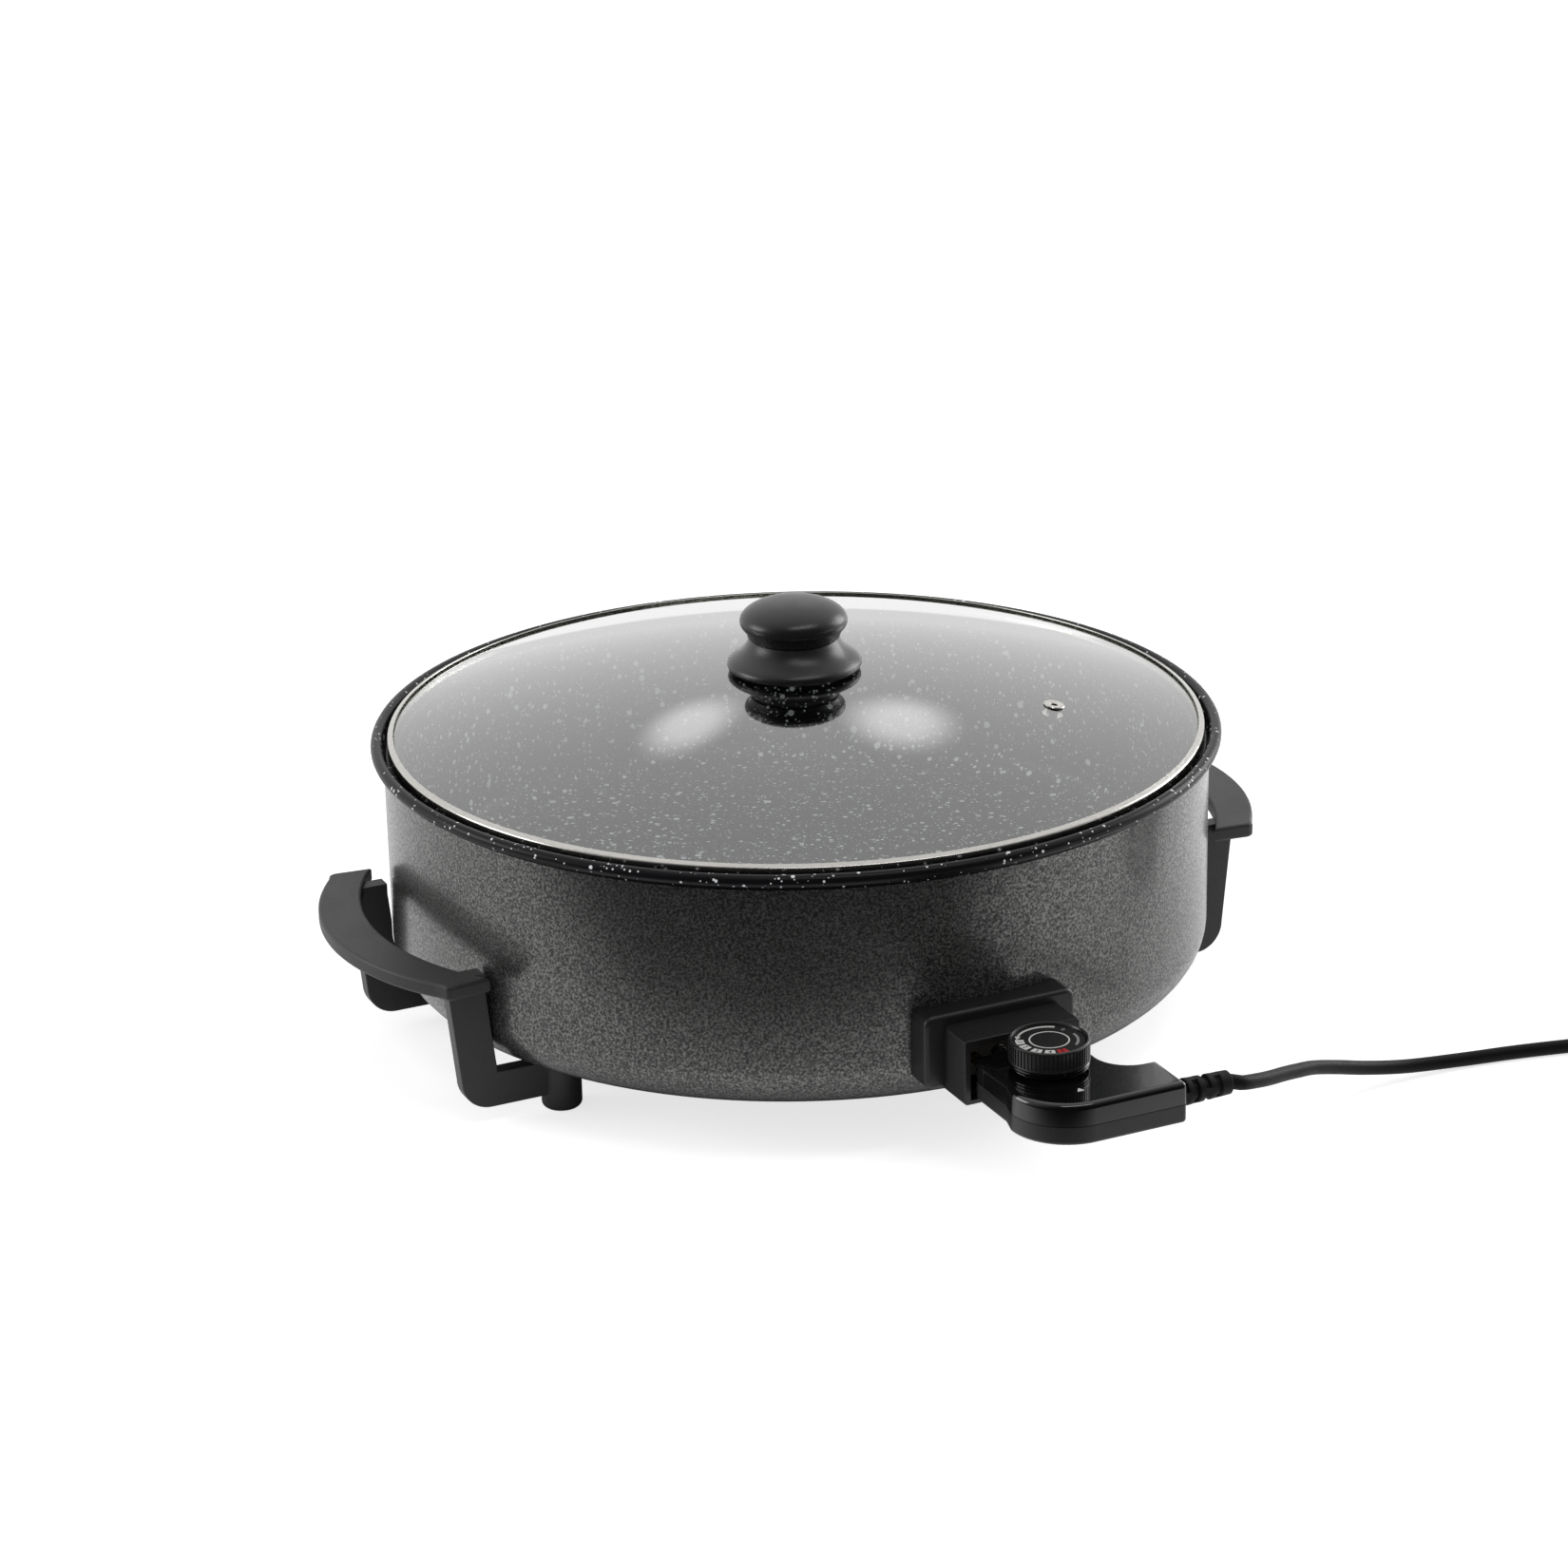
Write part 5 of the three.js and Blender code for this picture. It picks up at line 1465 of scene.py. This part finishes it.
def makePlug():
    bore, boreEnd = plug["bore"]
    profile = [(bore, 0), *plug["mouth"]]
    r, z = plug["bootRing"]
    wider, further = plug["bootStep"]
    for i in range(plug["bootRings"]):
        profile += [(r + i * wider + a, z + i * further + b) for a, b in plug["bootShape"]]
    profile += plug["shoulder"]
    r, z = plug["groove"]
    for i in range(plug["grooves"]):
        profile += [(r + a, z + i * plug["grooveStep"] + b) for a, b in plug["grooveShape"]]
    profile += plug["face"] + [(0, boreEnd), (bore, boreEnd), (bore, 0)]
    piece = shapeWith(turnPiece("plug_mould", profile, plug["steps"], 0, 0), plugPlace())
    x, y, z = plugPlace().translation
    reach = r * mm
    low = (x - 2 * reach, y - reach, -reach)
    high = (x + 2 * reach, y + 4 * reach, plug["flat"] * mm)
    cut(piece, boxPiece("flatTool", low, high))
    seat, start, end = (value * mm for value in plug["seat"])
    for word, side in (("left", -1), ("right", 1)):
        place = plugPlace(side * plug["pinsApart"] / 2)
        x, y, z = place.translation
        cut(piece, rodPiece("seatTool", seat, (x, y + start, z), (x, y + end, z), 32))
        pin = turnPiece(f"mains_pin_{word}", roundEnded(*plug["pin"]), 32, 0, 0)
        shapeWith(pin, place)
        dress(smooth(pin, 40), finish["zinc_steel"], "probe", "zinc_steel", f"plug_pin_{word}")
    return dress(smooth(piece, 35), finish["black_rubber"], "probe", "black_rubber", "plug_body")


# strap round the coil; inside is where it starts and ends, from the coil's middle
tie = {
    "angle": 105.0,
    "inside": (24.7, 50.7),
    "rise": (1.0, 17.2),
    "corner": 2.0,
    "thickness": 1.0,
    "width": 9.0,
}


def tieOutline(grow, y):
    inner, outer = tie["inside"]
    low, high = tie["rise"]
    sides = (inner - grow, outer + grow, low - grow, high + grow)
    return [(x * mm, y * mm, z * mm) for x, z in roundedBox(*sides, tie["corner"] + grow, 5)]


def makeTie():
    wide = tie["width"]
    piece = pushPiece("coil_strap", tieOutline(tie["thickness"], -wide / 2), (0, wide * mm, 0))
    hole = tieOutline(0, -wide / 2 - spare)
    cut(piece, pushPiece("strapRoom", hole, (0, (wide + 2 * spare) * mm, 0)))
    x, y = lead["coilCentre"]
    place = Matrix.Translation((x, y, 0)) @ Matrix.Rotation(math.radians(tie["angle"]), 4, "Z")
    smooth(shapeWith(piece, place), 35)
    return dress(piece, finish["black_rubber"], "probe", "black_rubber", "cord_tie")


makeWall()
makeBowl()
print("pan made")
makeGlass()
makeBand()
makeEyelet()
makeKnob()
print("lid made")
makeHandles()
print("handles made")
makeSocket()
makeContacts()
makeProbe()
makeDial()
makeRelief()
print("probe made")
plugPiece = makePlug()
strapPiece = makeTie()
leadPiece.data.materials.append(finish["cord_jacket"])
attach(leadPiece, "probe")
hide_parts("cord_run", "cord_coil", "cord_tail")


# floor, surroundings and lamps
stage = {
    "floorSize": 14.0,
    "glow": 0.72,  # what the camera sees of the floor, on top of its own tone
    "floorTone": 0.8,
    "darkSide": (-0.242, -0.97),  # where the studio is unlit, seen from the pan
    "dark": 0.02,
    "span": (-0.8, 0.5),  # cosine from the lit side: dark below the first, full above the second
    "given": 0.4,  # the even light that falls on everything
    "floorSide": (-0.53, -0.848),  # where the floor is unlit
    "floorReach": (-0.36, -0.235),  # the same for the floor, in metres from the middle
    # from the pan's axis: dark below the first, and as lit as the rest beyond the second
    "shadeReach": (0.16, 0.24),
    "rightReach": (0.28, 0.42),  # where the floor's painted light brightens towards the lamp on the right
    "right": 1.35,
    "aim": (0, 0.05, 0.1),  # every lamp faces this point
    "softEdge": (0.12, 0.5),  # where a soft lamp starts to fade, and its edge, in widths of it
    "lamps": [  # name, place, size, watts, turn in degrees, soft or not
        ("softLeft", (-2.2, 0.9, 0.8), (1.2, 1.2), 18, 0, False),
        ("softRight", (2.1, 0.3, 0.8), (1.2, 1.2), 20, 0, False),
        ("backLeft", (0.96, 2.9, 1.94), (0.36, 0.85), 1.05, -20, True),
        ("backRight", (1.55, 2.55, 1.92), (0.45, 0.8), 1.3, 8, True),
        ("softTop", (0.1, -1.0, 2.3), (1.7, 0.36), 9, 0, False),
    ],
}


def alongLight(n, places, darkSide):
    # how far a place or a way lies towards the lit side of the studio
    x, y = darkSide
    along = n.add("VectorMath", operation="DOT_PRODUCT")
    n.join(places, along.inputs[0])
    along.inputs[1].default_value = (-x, -y, 0)
    return along.outputs["Value"]


def spread(n, source, low, high, start, end=1.0):
    # from its start below low to its end above high
    span = n.add("MapRange", interpolation_type="SMOOTHSTEP")
    n.join(source, span.inputs["Value"])
    for key, value in (("From Min", low), ("From Max", high), ("To Min", start), ("To Max", end)):
        span.inputs[key].default_value = value
    return span.outputs["Result"]


def addFloor():
    bpy.ops.object.select_all(action="DESELECT")
    bpy.ops.mesh.primitive_grid_add(x_subdivisions=8, y_subdivisions=8, size=stage["floorSize"])
    floor = bpy.context.object
    floor.name = "studio_floor"
    n = Nodes("studioFloor")
    tone = n.noise(3, 2.0, 0.5)
    level = stage["floorTone"]
    n.to(n.grey(tone, [(0.3, level * 0.99), (0.7, level)]), "Base Color")
    n.set(Roughness=0.9, Specular_IOR_Level=0.0)
    # glossy rays see the floor as a glow alone, with painted shade on its unlit side and near the
    # pan, where the pan's shadow falls, and painted light brightening towards the lamp on the right
    light = n.add("LightPath")
    low, high = stage["floorReach"]
    mirrored = spread(n, alongLight(n, n.places, stage["floorSide"]), low, high, stage["dark"])
    away = n.add("VectorMath", operation="DISTANCE")
    n.join(n.places, away.inputs[0])
    away.inputs[1].default_value = (0, panY, 0)
    low, high = stage["shadeReach"]
    nearPan = spread(n, away.outputs["Value"], low, high, stage["dark"])
    across = n.add("SeparateXYZ")
    n.join(n.places, across.inputs[0])
    low, high = stage["rightReach"]
    onRight = spread(n, across.outputs["X"], low, high, 1.0, stage["right"])
    mirrored = n.sum("MULTIPLY", n.sum("MULTIPLY", mirrored, nearPan), onRight)
    seen = n.sum("MULTIPLY", light.outputs["Is Camera Ray"], stage["glow"])
    strength = n.sum("ADD", seen, n.sum("MULTIPLY", light.outputs["Is Glossy Ray"], mirrored))
    glow = n.add("Emission", Color=(1, 1, 1, 1))
    n.join(strength, glow.inputs["Strength"])
    plain = n.add("MixShader")
    n.join(light.outputs["Is Glossy Ray"], plain.inputs[0])
    n.join(n.shader.outputs[0], plain.inputs[1])
    both = n.add("AddShader")
    n.join(plain.outputs[0], both.inputs[0])
    n.join(glow.outputs[0], both.inputs[1])
    n.join(both.outputs[0], n.output.inputs["Surface"])
    floor.data.materials.append(n.material)


class World(Nodes):
    def __init__(self):
        world = bpy.data.worlds.new("studio")
        bpy.context.scene.world = world
        world.use_nodes = True
        self.tree = world.node_tree
        self.back = self.tree.nodes["Background"]
        self.places = self.tree.nodes.new("ShaderNodeTexCoord").outputs["Generated"]


def addWorld():
    n = World()
    light = n.add("LightPath")
    low, high = stage["span"]
    lit = spread(n, alongLight(n, n.places, stage["darkSide"]), low, high, stage["dark"])
    mirrored = n.sum("MULTIPLY", light.outputs["Is Glossy Ray"], lit)
    seen = n.sum("MAXIMUM", light.outputs["Is Camera Ray"], light.outputs["Is Transmission Ray"])
    plain = n.sum("SUBTRACT", 1.0, n.sum("MAXIMUM", light.outputs["Is Glossy Ray"], seen))
    rest = n.sum("ADD", mirrored, n.sum("MULTIPLY", plain, stage["given"]))
    n.back.inputs["Color"].default_value = (1, 1, 1, 1)
    n.join(n.sum("ADD", seen, rest), n.back.inputs["Strength"])


def fadeOut(data):
    # the lamp's panel fades towards its edges
    data.use_nodes = True
    links, nodes = data.node_tree.links, data.node_tree.nodes
    away = nodes.new("ShaderNodeVectorMath")
    away.operation = "DISTANCE"
    away.inputs[1].default_value = (0.5, 0.5, 0)
    links.new(nodes.new("ShaderNodeNewGeometry").outputs["Parametric"], away.inputs[0])
    fade = nodes.new("ShaderNodeMapRange")
    fade.interpolation_type = "SMOOTHSTEP"
    links.new(away.outputs["Value"], fade.inputs["Value"])
    start, end = stage["softEdge"]
    for key, value in (("From Min", start), ("From Max", end), ("To Min", 1.0), ("To Max", 0.0)):
        fade.inputs[key].default_value = value
    links.new(fade.outputs["Result"], nodes["Emission"].inputs["Strength"])


def addLamp(name, place, size, power, turn, soft):
    data = bpy.data.lights.new(name, "AREA")
    data.shape = "RECTANGLE"
    data.size, data.size_y = size
    data.energy = power
    if soft:
        fadeOut(data)
    lamp = bpy.data.objects.new(name, data)
    bpy.context.collection.objects.link(lamp)
    way = Vector(place) - Vector(stage["aim"])
    facing = way.to_track_quat("Z", "Y").to_matrix().to_4x4()
    turned = Matrix.Rotation(math.radians(turn), 4, "Z")
    lamp.matrix_world = Matrix.Translation(place) @ facing @ turned


addFloor()
addWorld()
for lamp in stage["lamps"]:
    addLamp(*lamp)
bpy.context.scene.view_settings.view_transform = "Standard"
print("stage set")
